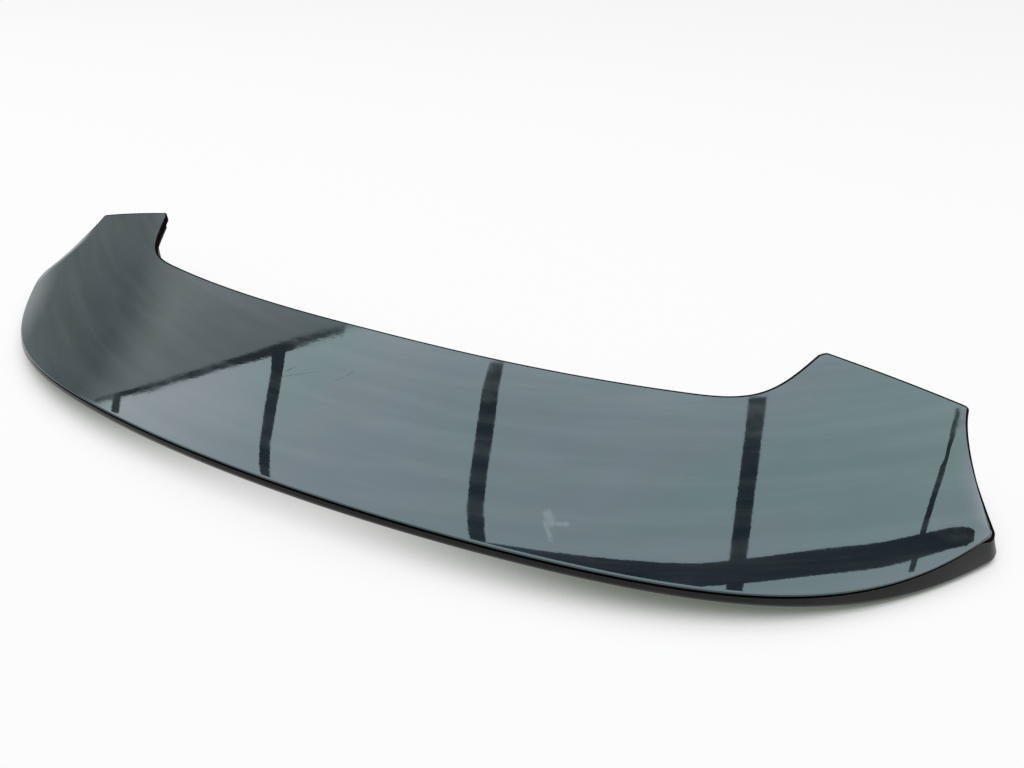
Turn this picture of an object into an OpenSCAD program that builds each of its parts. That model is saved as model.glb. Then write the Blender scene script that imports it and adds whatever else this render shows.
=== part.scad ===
// Roof spoiler for a hatchback: a gloss painted upper skin over a satin black lower panel,
// with the studs, clips, seals and screws that hold it to the tailgate.
// X runs across the car, +Y towards the roof, +Z up. Z = 0 is the surface it lies on.

/* [Plan outline] */
// Distance between the outer corners of the two horns
horn_span = 1120; // [1040:5:1200]
// Width of each horn at its end, from its inner to its outer corner
horn_w = 132; // [122:1:142]
// Length from the trailing edge to the front edge, on the centre line
chord = 200; // [185:1:215]
// How far the front edge sweeps forward by the line of the outer horn corners
front_sweep = 123; // [110:1:135]
// How far the trailing edge sweeps forward as one wide arc
trail_sweep = 133; // [120:1:145]
// Further sweep that rounds the trailing edge into each corner
tip_sweep = 93; // [80:1:105]
// How far each trailing corner stands outside the horn above it
corner_flare = 32; // [22:1:40]
// How far the inner corner of a horn lies ahead of the outer one
horn_lead = 4; // [0:0.5:8]
// How far inside the horn's inner corner its fillet leaves the front edge
fillet_run = 98; // [84:1:112]
// Radius that softens the four outer corners and the horn corners
corner_r = 5; // [3:0.5:8]

/* [Surface] */
// Rise of the skin from the trailing edge to the front edge, on the centre line
rise = 34; // [26:1:42]
// Drop of the crown at the line of the outer horn corners
crown = 91; // [82:1:98]
// Share of the crown that fades away over one chord
crown_fade = 0.31; // [0.24:0.01:0.38]
// Height of the centre of the trailing edge over the surface the part lies on
skin_lift = 56.5; // [54:0.5:62]

/* [Upper skin] */
// Wall of the painted skin
skin_t = 3; // [2.5:0.1:3.5]
// Depth of the turned-down hem on the trailing edge
hem_depth = 3.6; // [3.2:0.1:4.6]
// Extra depth of the hem on the front edge
front_hem_extra = 4; // [2:0.5:6]
// Extra depth of the hem down the side of each corner
side_hem_extra = 7; // [3:0.5:9]
// How far the side hem leans outwards at its foot
side_hem_flare = 4; // [1:0.5:5]
// Radius on the visible edge of the skin
edge_r = 1.5; // [0.8:0.1:2]

/* [Lower panel] */
// Wall of the lower panel
panel_t = 2.6; // [2.2:0.1:3]
// Open seam between the hem and the lip under it
seam = 0.5; // [0.3:0.1:1]
// Clearance between the panel and the inside of the skin
fit_gap = 0.3; // [0.2:0.1:0.5]
// Height of the sloping face of the lip at the centre
lip_face_mid = 2.8; // [2:0.2:4]
// Height of the sloping face of the lip at each corner
lip_face_tip = 19; // [16:0.5:20]
// How far the lip stands out for each millimetre of its sloping face
lip_slope = 0.5; // [0.3:0.05:0.6]
// Height of the underside of the lip over the ground at the centre
lip_lift = 39.5; // [37:0.5:42]
// How far inside the trailing corners the lip reaches the ground
rest_in = 92; // [74:2:110]
// Height of the keel over the ground at the centre
keel_lift = 26; // [22:1:32]
// Where the keel lies, as a share of the chord
keel_at = 0.56; // [0.52:0.01:0.58]
// Depth of the mounting deck below the skin at the centre
deck_depth = 27; // [24:1:30]
// Drop of the deck from the centre to the outer studs
deck_drop = 31; // [28:1:34]
// Width of the land that carries the front screws
land_w = 20; // [19:0.5:22]
// Depth of that land below the skin
land_depth = 12; // [11:0.5:13]
// Wall of the skirt that closes each end down to the ground
skirt_t = 3.4; // [2.6:0.2:4]

/* [Fixings] */
// Thread diameter of the mounting studs
stud_d = 6; // [5:1:6]
// Length of stud that stands out below its pad
stud_reach = 24; // [20:1:26]
// Distance between the two inner studs
inner_stud_gap = 340; // [320:5:360]
// Distance of the outer studs inside the outer corners of the horns
outer_stud_in = 80; // [76:1:90]
// Distance of the inner studs behind the front edge
inner_stud_inset = 46; // [44:1:48]
// Distance of the outer studs behind the ends of the horns
outer_stud_inset = 44; // [43:1:47]
// Diameter of the pad under each stud
pad_d = 26; // [24:1:28]
// Diameter of the locating pegs
peg_d = 8; // [7:0.5:9]
// Length of the locating pegs
peg_reach = 14; // [11:1:16]
// Distance between the locating pegs
peg_gap = 600; // [580:5:620]
// Distance between neighbouring screws along the front edge
front_screw_gap = 120; // [112:1:122]
// Thickness of the foam seals round the studs
foam_t = 4; // [3:0.5:5]
// Thickness of the sealing strip under the front edge
strip_t = 5; // [4:0.5:6]
// Width of that strip
strip_w = 6; // [5:0.5:7]
// Shank diameter of the panel screws
screw_d = 3.8; // [3.4:0.1:4]
// Length of the panel screws under the head
screw_len = 11; // [9:0.5:11.5]

/* [Hidden] */
$fn = 40;

paint = [0.09, 0.13, 0.18];
satin = [0.13, 0.13, 0.14];
steel = [0.62, 0.63, 0.66];
foam = [0.2, 0.2, 0.2];
rubber = [0.08, 0.08, 0.08];

end_ahead = 2;
inner_round = 0.5;
tongue_play = 0.2;
horn_x = horn_span / 2;
inner_x = horn_x - horn_w;
corner_x = horn_x + corner_flare;
fillet_start = inner_x - fillet_run;
rest_x = corner_x - rest_in;
outer_stud_x = horn_x - outer_stud_in;
end_y = chord + front_sweep + end_ahead;
inner_y = end_y + horn_lead;
corner_y = trail_sweep + tip_sweep;
hem_in = skin_t + inner_round;
tongue_in = hem_in + fit_gap + tongue_play;
tongue_back = tongue_in + panel_t;

// Small helpers on points
function lerp(a, b, t) = a + (b - a) * t;
function up(p, z) = [p[0], p[1], z];
function unit(v) = v / norm(v);
function bez2(a, b, c, t) = lerp(lerp(a, b, t), lerp(b, c, t), t);
function bez3(a, b, c, d, t) = lerp(bez2(a, b, c, t), bez2(b, c, d, t), t);
function flip(p) = [-p[0], p[1]];
function clamp01(t) = min(1, max(0, t));
function smooth(t) = let (c = clamp01(t)) c * c * (3 - 2 * c);

// The painted surface: a rise towards the front, less a crown that fades on the way
function share_x(x) = abs(x) / horn_x;
function crown_at(x) = crown * (0.735 * pow(share_x(x), 2) + 0.265 * pow(share_x(x), 4));
function rise_at(y) = rise * (0.66 * y / chord + 0.34 * pow(y / chord, 2));
function skin_z(p) = skin_lift + rise_at(p[1]) - crown_at(p[0]) * (1 - crown_fade * p[1] / chord);

// The two long edges in plan
front_power = 2.25;
tip_power = 6.6;
function front_y(x) = chord + front_sweep * pow(share_x(x), front_power);
function trail_y(x) = let (s = abs(x) / corner_x) trail_sweep * s * s + tip_sweep * pow(s, tip_power);
function trail_slope(x) =
    let (s = x / corner_x)
    (2 * trail_sweep * s + tip_power * tip_sweep * pow(s, tip_power - 1)) / corner_x;
function end_edge_y(x) = inner_y - horn_lead * (abs(x) - inner_x) / (horn_x - inner_x);

// The horn fillet runs from the front edge up to the inner corner of the horn
fillet_a = [fillet_start, front_y(fillet_start)];
fillet_dir = unit([1, front_sweep * front_power * pow(fillet_start / horn_x, front_power - 1) / horn_x]);
horn_dir = unit([0.45, 0.89]);
fillet_d = [inner_x, inner_y];
fillet_len = norm(fillet_d - fillet_a);
fillet_b = fillet_a + fillet_dir * fillet_len * 0.44;
fillet_c = fillet_d - horn_dir * fillet_len * 0.48;
function fillet_pt(t) = bez3(fillet_a, fillet_b, fillet_c, fillet_d, t);

// The side edge bows in below the horn and flares out to the trailing corner
side_a = [corner_x, corner_y];
side_b = [horn_x - 0.11 * (end_y - corner_y) * 0.34, corner_y + (end_y - corner_y) * 0.66];
side_c = [horn_x, end_y];
function side_pt(t) = bez2(side_a, side_b, side_c, t);

// Half of the front edge, from the centre line to the outer horn corner
front_n = 12;
fillet_n = 10;
end_n = 6;
fillet_stop = 1 - corner_r / fillet_len;
end_start = inner_x + corner_r;
end_stop = horn_x - corner_r;
front_half = concat(
    [for (i = [0:front_n - 1]) let (x = fillet_start * i / front_n) [x, front_y(x)]],
    [for (i = [0:fillet_n]) fillet_pt(fillet_stop * i / fillet_n)],
    [bez2(fillet_pt(fillet_stop), fillet_d, [end_start, end_edge_y(end_start)], 0.5)],
    [for (i = [0:end_n]) let (x = lerp(end_start, end_stop, i / end_n)) [x, end_edge_y(x)]]
);
half_n = len(front_half);
side_soft = corner_r / (end_y - corner_y);
side_top = side_pt(1 - side_soft);
horn_corner = bez2([end_stop, end_edge_y(end_stop)], side_c, side_top, 0.5);
front_edge = concat(
    [flip(horn_corner)],
    [for (i = [half_n - 1:-1:1]) flip(front_half[i])],
    front_half,
    [horn_corner]
);
col_n = len(front_edge) - 1;

// The trailing edge takes as many points, spread like those of the front edge
trail_stop = corner_x - corner_r;
side_foot = side_pt(side_soft);
trail_corner = bez2([trail_stop, trail_y(trail_stop)], side_a, side_foot, 0.5);
function trail_x(i) = front_edge[i][0] * trail_stop / end_stop;
trail_edge = concat(
    [flip(trail_corner)],
    [for (i = [1:col_n - 1]) [trail_x(i), trail_y(trail_x(i))]],
    [trail_corner]
);

// The side edges, and the whole outline as one loop that runs anticlockwise
row_n = 11;
function row_share(r) = (1 - cos(180 * r / row_n)) / 2;
function side_share(r) = lerp(side_soft, 1 - side_soft, row_share(r));
side_edge = [for (r = [1:row_n - 1]) side_pt(side_share(r))];
outline = concat(
    trail_edge,
    side_edge,
    [for (i = [col_n:-1:0]) front_edge[i]],
    [for (r = [row_n - 2:-1:0]) flip(side_edge[r])]
);
loop_n = len(outline);
function loop_front(i) = 2 * col_n + row_n - i;
function loop_right(r) = col_n + r;
function loop_left(r) = loop_n - r;

// A point of the loop, moved inwards by d along the mean of its two sides
function loop_normal(j) =
    let (
        a = outline[(j + loop_n - 1) % loop_n],
        b = outline[j],
        c = outline[(j + 1) % loop_n],
        d = unit(unit(b - a) + unit(c - b))
    )
    [-d[1], d[0]];
function inset_pt(j, d) = outline[j % loop_n] + loop_normal(j % loop_n) * d;
function inset_loop(d) = [for (j = [0:loop_n - 1]) inset_pt(j, d)];

// A point of the grid that fills an inset loop: column i, row r
end_cols = 0.2;
function end_weight(i) = pow(clamp01((abs(2 * i / col_n - 1) - 1 + end_cols) / end_cols), 2);
function side_bow(loop, i, r) =
    let (
        right = i > col_n / 2,
        a = right ? loop[col_n] : loop[0],
        b = right ? loop[loop_front(col_n)] : loop[loop_front(0)],
        s = right ? loop[loop_right(r)] : loop[loop_left(r)]
    )
    (s - lerp(a, b, row_share(r))) * end_weight(i);
function grid_pt(loop, i, r) =
    r == 0 ? loop[i]
    : r == row_n ? loop[loop_front(i)]
    : i == 0 ? loop[loop_left(r)]
    : i == col_n ? loop[loop_right(r)]
    : lerp(loop[i], loop[loop_front(i)], row_share(r)) + side_bow(loop, i, r);
function grid(d) = let (loop = inset_loop(d)) [for (r = [0:row_n]) for (i = [0:col_n]) grid_pt(loop, i, r)];

// Which part of the loop a point is on, so that the hem can differ along it
function is_front(j) = j >= col_n + row_n && j <= 2 * col_n + row_n;
function is_side(j) = j == 0 || (j >= col_n && j < col_n + row_n) || j > 2 * col_n + row_n;
function side_row(j) = j == 0 || j == col_n ? 0 : j < col_n + row_n ? j - col_n : loop_n - j;
function side_hem(t) = hem_depth + lerp(side_hem_extra, front_hem_extra, t);
function hem_at(j) =
    is_front(j) ? hem_depth + front_hem_extra
    : !is_side(j) ? hem_depth
    : side_row(j) == 0 ? hem_depth + side_hem_extra / 2
    : side_hem(row_share(side_row(j)));
function flare_at(j) =
    !is_side(j) ? 0
    : side_row(j) == 0 ? side_hem_flare / 2
    : side_hem_flare * (1 - row_share(side_row(j)));

// Two triangles for a quad; the left half turns its diagonals, so that the two halves mirror each other
function quad(a, b, c, d, turned) = turned ? [[a, b, d], [b, c, d]] : [[a, b, c], [a, c, d]];
function on_left(j) = outline[j][0] + outline[(j + 1) % loop_n][0] < 0;

// Faces between two loops, between two rings of a loft, and of a grid
function ring_faces(a, b, n) = [
    for (j = [0:n - 1]) let (k = (j + 1) % n) each quad(a + j, a + k, b + k, b + j, on_left(j))
];
function loft_faces(a, b, n, turned) = [
    for (j = [0:n - 1]) let (k = (j + 1) % n) each quad(a + j, b + j, b + k, a + k, turned)
];
function grid_faces(first, up) = [
    for (r = [0:row_n - 1]) for (i = [0:col_n - 1])
        let (a = first + r * (col_n + 1) + i, b = a + col_n + 1, left = i < col_n / 2)
        each up ? quad(a, b, b + 1, a + 1, left) : quad(a, a + 1, b + 1, b, left)
];
function rim_index(first, j) =
    j <= col_n ? first + j
    : j < col_n + row_n ? first + (j - col_n) * (col_n + 1) + col_n
    : j <= 2 * col_n + row_n ? first + row_n * (col_n + 1) + loop_front(0) - j
    : first + (loop_n - j) * (col_n + 1);
function rim_faces(first, ring, up) = [
    for (j = [0:loop_n - 1])
        let (k = (j + 1) % loop_n, c = ring + j, d = ring + k)
        let (a = rim_index(first, j), b = rim_index(first, k))
        each up ? quad(a, b, d, c, on_left(j)) : quad(a, c, d, b, on_left(j))
];

// A solid lofted through rings of equal, even length, with a cap on each end
module loft(rings) {
    n = len(rings[0]);
    e = (len(rings) - 1) * n;
    faces = concat(
        [for (k = [0:len(rings) - 2]) each loft_faces(k * n, (k + 1) * n, n, k < (len(rings) - 1) / 2)],
        [
            for (a = [0:n / 2 - 2])
                let (b = n - 1 - a)
                each [
                    [a, a + 1, b - 1], [a, b - 1, b],
                    [e + a, e + b - 1, e + a + 1], [e + a, e + b, e + b - 1]
                ]
        ]
    );
    polyhedron([for (ring = rings) each ring], faces, convexity = 10);
}
function both_halves(half) =
    concat([for (k = [len(half) - 1:-1:1]) [for (p = half[k]) [-p[0], p[1], p[2]]]], half);

// The painted shell: the top grid, a rounded edge, the hem and the inside grid
skin_top = grid(edge_r);
skin_in = grid(hem_in);
grid_n = (row_n + 1) * (col_n + 1);
function rolled_ring(a) = [
    for (j = [0:loop_n - 1])
        let (p = inset_pt(j, edge_r * (1 - sin(a))))
        up(p, skin_z(p) - edge_r * (1 - cos(a)))
];
skin_rings = [
    for (a = [30, 60, 90]) rolled_ring(a),
    [for (j = [0:loop_n - 1]) up(inset_pt(j, -flare_at(j)), skin_z(outline[j]) - hem_at(j))],
    [for (j = [0:loop_n - 1]) up(inset_pt(j, skin_t - flare_at(j)), skin_z(outline[j]) - hem_at(j))]
];

module skin_shell() {
    points = concat(
        [for (p = skin_top) up(p, skin_z(p))],
        [for (ring = skin_rings) each ring],
        [for (p = skin_in) up(p, skin_z(p) - skin_t)]
    );
    last = len(skin_rings) - 1;
    inside = grid_n + (last + 1) * loop_n;
    faces = concat(
        grid_faces(0, true),
        rim_faces(0, grid_n, true),
        [for (k = [0:last - 1]) each ring_faces(grid_n + k * loop_n, grid_n + (k + 1) * loop_n, loop_n)],
        rim_faces(inside, grid_n + last * loop_n, false),
        grid_faces(inside, false)
    );
    polyhedron(points, faces, convexity = 6);
}

// The lip: a sloping face that grows towards the corners, and the height of its foot
lip_power = 8.6;
lift_power = 1.2;
foot_r = 1.2;
face_min = 0.5;
ledge_in = 0.2;
function ground_share(x) = pow(max(0, 1 - pow(x / rest_x, 2)), lift_power);
function lip_face(x) = lerp(lip_face_mid, lip_face_tip, pow(abs(x) / corner_x, lip_power));
function lip_out(x) = lip_slope * lip_face(x);
function foot_z(x) = lip_lift * ground_share(x);

// The origin sits under the middle of the whole part
mid_y = (max([for (p = front_edge) p[1]]) - lip_out(0)) / 2;

module place() {
    translate([0, -mid_y, 0]) children();
}

// The rim wall follows the outline from the centre of the lip round the corner to the end of the horn
rim_end = col_n + row_n;
side_last = side_pt(1 - tongue_in / (2 * (side_c[1] - side_b[1])));
side_way = unit(side_c - side_b);
corner_crease = skin_z(side_a) - hem_depth - seam - lip_face_tip;
function rim_pt(j, d) = j < rim_end ? inset_pt(j, d) : side_last + [-side_way[1], side_way[0]] * d;
function rim_share(j) = j <= col_n ? 0 : j < rim_end ? row_share(j - col_n) : 1;
function rim_out(j) = j < col_n ? lip_out(outline[j][0]) : lip_out(corner_x) * pow(1 - rim_share(j), 1.5);
function rim_ring(j) =
    let (
        p = rim_pt(j, 0),
        foot = foot_z(p[0]),
        ledge = skin_z(p) - hem_at(j) - seam,
        out = rim_out(j),
        crease = max(foot + foot_r + face_min, j < col_n ? ledge - lip_face(p[0]) : corner_crease)
    )
    [
        under_skin(rim_pt(j, tongue_in)),
        up(rim_pt(j, tongue_in), ledge),
        up(rim_pt(j, ledge_in - flare_at(j)), ledge),
        up(rim_pt(j, -out), crease),
        up(rim_pt(j, foot_r * 0.3 - out), foot + foot_r),
        up(rim_pt(j, foot_r - out), foot),
        up(rim_pt(j, skirt_t), foot),
        under_skin(rim_pt(j, tongue_back))
    ];

// The floor runs in columns from inside the rim wall to the front edge.
// A column is its start, its end and its share of the side's bow.
floor_in = 2;
wall_in = 5;
floor_step = 0.25;
toe_run = 16;
toe_lift = 0.4;
climb_at = [0.35, 0.7];
climb_up = [0.06, 0.42, 0.82];
keel_clear = 1.5;
keel_ramp = 0.07;
keel_step = 4;
keel_step_in = 3.4;
land_step = 4;
over_shift = [0.008, 0.02, 0.014];
function keel_z(x) = keel_clear + keel_lift * ground_share(x);
function deck_z(x) = skin_lift + rise - deck_depth - deck_drop * pow(x / outer_stud_x, 2);
function trail_in(x, d) =
    [x, trail_y(x)] + unit([-trail_slope(x), 1]) * d;
function col_len(c) = norm(c[1] - c[0]);
function col_pt(c, v) = lerp(c[0], c[1], v) + (side_pt(v) - lerp(side_a, side_c, v)) * c[2];
function col_at(c, a) = col_pt(c, a / col_len(c));
function col_back(c, a) = col_pt(c, 1 - a / col_len(c));
function under_skin(p) = up(p, skin_z(p) - skin_t - fit_gap);
function under_land(p, rise_by) = up(p, skin_z(p) - land_depth + rise_by);

// Underside of one column: up the floor to the keel, the step to the deck, the land and the nose
function floor_out(c) =
    let (foot = foot_z(c[0][0]), keel = keel_z(c[0][0]), deck = deck_z(c[1][0]))
    [
        up(col_pt(c, 0), foot + floor_step),
        up(col_at(c, toe_run), lerp(foot, keel, climb_up[0]) + toe_lift),
        up(col_pt(c, keel_at * climb_at[0]), lerp(foot, keel, climb_up[1])),
        up(col_pt(c, keel_at * climb_at[1]), lerp(foot, keel, climb_up[2])),
        up(col_pt(c, keel_at), keel),
        up(col_pt(c, keel_at + keel_ramp / 2), keel + keel_step),
        up(col_pt(c, keel_at + keel_ramp), deck),
        up(col_back(c, land_w + land_step), deck),
        under_land(col_back(c, land_w), 0),
        under_land(col_pt(c, 1), 0),
        under_skin(col_pt(c, 1))
    ];

// Upper side of the same column, one wall above
function floor_over(c) =
    let (foot = foot_z(c[0][0]), keel = keel_z(c[0][0]), deck = deck_z(c[1][0]), t = panel_t)
    [
        up(col_pt(c, 0), foot + floor_step + t),
        up(col_at(c, toe_run), lerp(foot, keel, climb_up[0]) + toe_lift + t),
        up(col_pt(c, keel_at * climb_at[0]), lerp(foot, keel, climb_up[1]) + t),
        up(col_pt(c, keel_at * climb_at[1]), lerp(foot, keel, climb_up[2]) + t),
        up(col_pt(c, keel_at - over_shift[0]), keel + t),
        up(col_pt(c, keel_at + over_shift[1]), keel + t + keel_step_in),
        up(col_pt(c, keel_at + keel_ramp - over_shift[2]), deck + t),
        up(col_back(c, land_w + land_step + t), deck + t),
        under_land(col_back(c, land_w + t), t),
        under_land(col_back(c, t), t),
        under_skin(col_back(c, t))
    ];
function floor_ring(c) =
    let (over = floor_over(c))
    concat(floor_out(c), [for (k = [len(over) - 1:-1:0]) over[k]]);

// Main columns line up with those of the skin; the last one ends inside the leaning rim wall
mid_i = col_n / 2;
last_front = mid_i + front_n;
front_in = inset_loop(tongue_in);
main_cols = [
    for (i = [mid_i:col_n - 2])
        let (x = trail_edge[i][0])
        [trail_in(x, floor_in), front_in[loop_front(i)], pow(clamp01((x / corner_x - 0.8) / 0.2), 2)]
];
side_in = unit([side_a[1] - side_b[1], side_b[0] - side_a[0]]);
wall_col = [side_a + side_in * wall_in, side_c - [wall_in, tongue_in], 1];
wall_h = skin_z(side_c) - skin_t;
function lean(p) = p + [(tongue_back - skirt_t) * (1 - clamp01(p[2] / wall_h)), 0, 0];

module panel_shell() {
    loft(both_halves([for (j = [mid_i:rim_end]) rim_ring(j)]));
    leaning = [for (p = floor_ring(wall_col)) lean(p)];
    loft(both_halves(concat([for (c = main_cols) floor_ring(c)], [leaning])));
}

// Where the fixings sit, as points in plan with the height of the deck or land there
inner_stud_x = inner_stud_gap / 2;
peg_x = peg_gap / 2;
clip_off = [33, 6];
buffer_off = [42, 2];
outer_y = end_y - outer_stud_inset;
inner_stud = [inner_stud_x, front_y(inner_stud_x) - inner_stud_inset];
outer_stud = [outer_stud_x, outer_y];
peg_at = [peg_x, front_y(peg_x) - inner_stud_inset];
clip_at = [outer_stud_x - clip_off[0], outer_y + clip_off[1]];
buffer_at = [outer_stud_x + buffer_off[0], outer_y + buffer_off[1]];
screw_from_step = 6.5;
horn_screw_in = [34, 40];
land_mid = tongue_in + land_w - screw_from_step;
front_screw_pts = [for (k = [0.5, 1.5, 2.5]) let (x = k * front_screw_gap) [x, front_y(x) - land_mid]];
horn_screw_pts =
    [for (x = [inner_x + horn_screw_in[0], horn_x - horn_screw_in[1]]) [x, end_edge_y(x) - land_mid]];
screw_pts = concat(front_screw_pts, horn_screw_pts);

pad_drop = 2;
pad_rise = 2.5;
screw_rise = 1.7;
pad_stack = pad_drop + panel_t + pad_rise;
screw_stack = pad_drop + panel_t + screw_rise;
overcut = 1;
pilot_spare = 0.3;
function pad_z(p) = deck_z(p[0]) - pad_drop;
function land_z(p) = skin_z(p) - land_depth - pad_drop;
function boss_z(p) = land_z(p) + screw_stack;

module at(p, z) {
    translate([p[0], p[1], z]) children();
}

module each_side() {
    children();
    mirror([1, 0, 0]) children();
}

// Screw bosses hang from the inside of the skin onto the land of the lower panel
boss_d = 6.6;
boss_bite = 1.1;
pilot_d = screw_d + 0.2;

module boss(p) {
    boss_h = skin_z(p) - skin_t + boss_bite - boss_z(p) - fit_gap;
    at(p, boss_z(p) + fit_gap) cylinder(d = boss_d, h = boss_h);
}

module pilot(p) {
    at(p, boss_z(p) - overcut) cylinder(d = pilot_d, h = screw_len - screw_stack + pilot_spare + overcut);
}

module upper_skin() {
    color(paint) difference() {
        union() {
            skin_shell();
            each_side() for (p = screw_pts) boss(p);
        }
        each_side() for (p = screw_pts) pilot(p);
    }
}

// Pads give each fixing a level seat on the sloping deck and land
screw_pad_d = 9;
buffer_pad_d = 20;
stem_d = 7;
hole_play = 0.6;
screw_play = 0.8;
blade_w = 16;
blade_t = 2.4;
blade_h = 15;

module pad(p, d, z, h) {
    at(p, z) cylinder(d = d, h = h);
}

module deck_pad(p, d) {
    pad(p, d, pad_z(p), pad_stack);
}

module peg(p) {
    tip = 1.5;
    at(p, pad_z(p) - peg_reach) rotate_extrude() polygon([
        [0, 0], [peg_d / 2 - tip, 0], [peg_d / 2, tip], [peg_d / 2, peg_reach + pad_drop + panel_t / 2],
        [0, peg_reach + pad_drop + panel_t / 2]
    ]);
}

module blade() {
    at(clip_at, 0) translate([-blade_w / 2, -blade_t / 2, pad_z(clip_at) - blade_h])
        cube([blade_w, blade_t, blade_h + pad_drop + panel_t / 2]);
}

module panel_holes() {
    deep = pad_stack + 2 * overcut;
    for (p = [inner_stud, outer_stud]) at(p, pad_z(p) - overcut) cylinder(d = stud_d + hole_play, h = deep);
    at(buffer_at, pad_z(buffer_at) - overcut) cylinder(d = stem_d + hole_play, h = deep);
    for (p = screw_pts)
        at(p, land_z(p) - overcut) cylinder(d = screw_d + screw_play, h = screw_stack + 2 * overcut);
}

module lower_panel() {
    color(satin) difference() {
        union() {
            panel_shell();
            each_side() {
                for (p = [inner_stud, outer_stud]) deck_pad(p, pad_d);
                deck_pad(buffer_at, buffer_pad_d);
                deck_pad(peg_at, peg_d + 6);
                for (p = screw_pts) pad(p, screw_pad_d, land_z(p), screw_stack);
                peg(peg_at);
                blade();
            }
        }
        each_side() panel_holes();
    }
}

// A mounting stud: a round flange that lies on its pad inside the panel, and a threaded shank
flange_d = 22;
flange_t = 2.5;
shoulder_t = 1;

module stud(p) {
    r = stud_d / 2;
    neck_r = r + 0.2;
    run_out = foam_t + 1;
    top = pad_stack;
    color(steel) at(p, pad_z(p)) rotate_extrude() polygon([
        [0, -stud_reach], [r - 1, -stud_reach], [r, 1 - stud_reach],
        [r, -run_out], [neck_r, -run_out], [neck_r, top],
        [flange_d / 2 - 0.5, top], [flange_d / 2, top + 0.5], [flange_d / 2, top + flange_t],
        [r + 1, top + flange_t], [r, top + flange_t + shoulder_t], [0, top + flange_t + shoulder_t]
    ]);
}

// A foam seal: a ring with softened corners under each pad
module stud_seal(p) {
    bore_r = stud_d / 2 + 0.6;
    soft_r = 0.8;
    out_r = pad_d / 2 - 1;
    color(foam) at(p, pad_z(p) - foam_t) rotate_extrude() polygon([
        [bore_r, 0], [out_r - soft_r, 0], [out_r, soft_r], [out_r, foam_t], [bore_r, foam_t]
    ]);
}

// A rubber buffer: a ribbed head below the deck and a barbed stem snapped through it
module buffer(p) {
    head_r = 8;
    head_h = 9;
    hole_t = pad_stack;
    color(rubber) at(p, pad_z(p)) rotate_extrude() polygon([
        [0, -head_h], [head_r - 3, -head_h], [head_r - 1.5, 1.5 - head_h], [head_r - 0.5, -5],
        [head_r - 1.5, -4], [head_r, -3], [head_r, 0], [stem_d / 2, 0], [stem_d / 2, hole_t],
        [stem_d / 2 + 1.6, hole_t], [stem_d / 2 - 0.8, hole_t + 6], [0, hole_t + 6]
    ]);
}

// A spring clip: one folded strip of steel pushed over the blade, with a barb on each leg
clip_t = 0.6;
clip_w = 12;
clip_play = 0.1;
clip_over = 0.5;
clip_knee = 6.5;
barb_z = 10.5;
barb_out = 3.4;
leg_z = 14.2;
leg_out = 2.6;
function stroke_side(path, d) = [
    for (i = [0:len(path) - 1])
        let (
            a = path[max(0, i - 1)],
            b = path[i],
            c = path[min(len(path) - 1, i + 1)],
            u = i == 0 ? unit(c - b) : unit(b - a),
            v = i == len(path) - 1 ? u : unit(c - b),
            m = unit(u + v)
        )
        b + [-m[1], m[0]] * d / (m * u)
];
function backwards(list) = [for (i = [len(list) - 1:-1:0]) list[i]];
function stroke(path, t) = concat(stroke_side(path, t / 2), backwards(stroke_side(path, -t / 2)));

module clip() {
    grip = blade_t / 2 + clip_t / 2 + clip_play;
    leg = [
        [grip, -clip_over], [grip, clip_knee - clip_over],
        [grip + barb_out, barb_z - clip_over], [grip + leg_out, leg_z - clip_over]
    ];
    path = concat([for (q = backwards(leg)) [-q[0], q[1]]], leg);
    color(steel) at(clip_at, pad_z(clip_at) - blade_h) translate([-clip_w / 2, 0, 0])
        rotate([90, 0, 90]) linear_extrude(clip_w) polygon(stroke(path, clip_t));
}

// A pan-head panel screw
module screw(p) {
    head_r = screw_d * 0.95;
    head_h = 2.4;
    r = screw_d / 2;
    color(steel) at(p, land_z(p)) rotate_extrude() polygon([
        [0, -head_h], [head_r * 0.6, -head_h], [head_r * 0.92, 0.6 - head_h], [head_r, -0.8], [head_r, 0],
        [r, 0], [r, screw_len - 2], [0, screw_len]
    ]);
}

// Sealing strips follow a row of points with a D-shaped section of foam
strip_sides = 8;
strip_wall = 0.35;
function strip_drop(k) =
    k == 0 || k == strip_sides - 1 ? 0 : lerp(strip_wall, 1, sin(180 * k / (strip_sides - 1)));
function strip_ring(p, q, w, t) =
    let (across = (q - p) / norm([q[0] - p[0], q[1] - p[1]]))
    [
        for (k = [0:strip_sides - 1])
            p + across * w / 2 * cos(180 * k / (strip_sides - 1)) - [0, 0, t * strip_drop(k)]
    ];

module strip(path, aim, w, t) {
    color(foam) loft([for (i = [0:len(path) - 1]) strip_ring(path[i], aim[i], w, t)]);
}

strip_edge = 0.8;
strip_in = tongue_in + strip_edge + strip_w / 2;
module horn_strip() {
    edge_strip(last_front + 1, col_n - 2);
}

module edge_strip(from, to) {
    strip(
        [for (i = [from:to]) under_land(inset_pt(loop_front(i), strip_in), -fit_gap)],
        [for (i = [from:to]) under_land(inset_pt(loop_front(i), strip_in + 1), -fit_gap)],
        strip_w, strip_t
    );
}

deck_strip_w = 7;
deck_strip_t = 4;
deck_strip_in = 7;
module deck_strip() {
    right = [
        for (k = [0:len(main_cols) - 3])
            let (c = main_cols[k])
            let (p = col_pt(c, keel_at + keel_ramp + deck_strip_in / col_len(c)))
            up(p, deck_z(c[1][0]) - fit_gap)
    ];
    left = [for (i = [len(right) - 1:-1:1]) [-right[i][0], right[i][1], right[i][2]]];
    path = concat(left, right);
    strip(path, [for (p = path) p - [0, 1, 0]], deck_strip_w, deck_strip_t);
}

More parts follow.
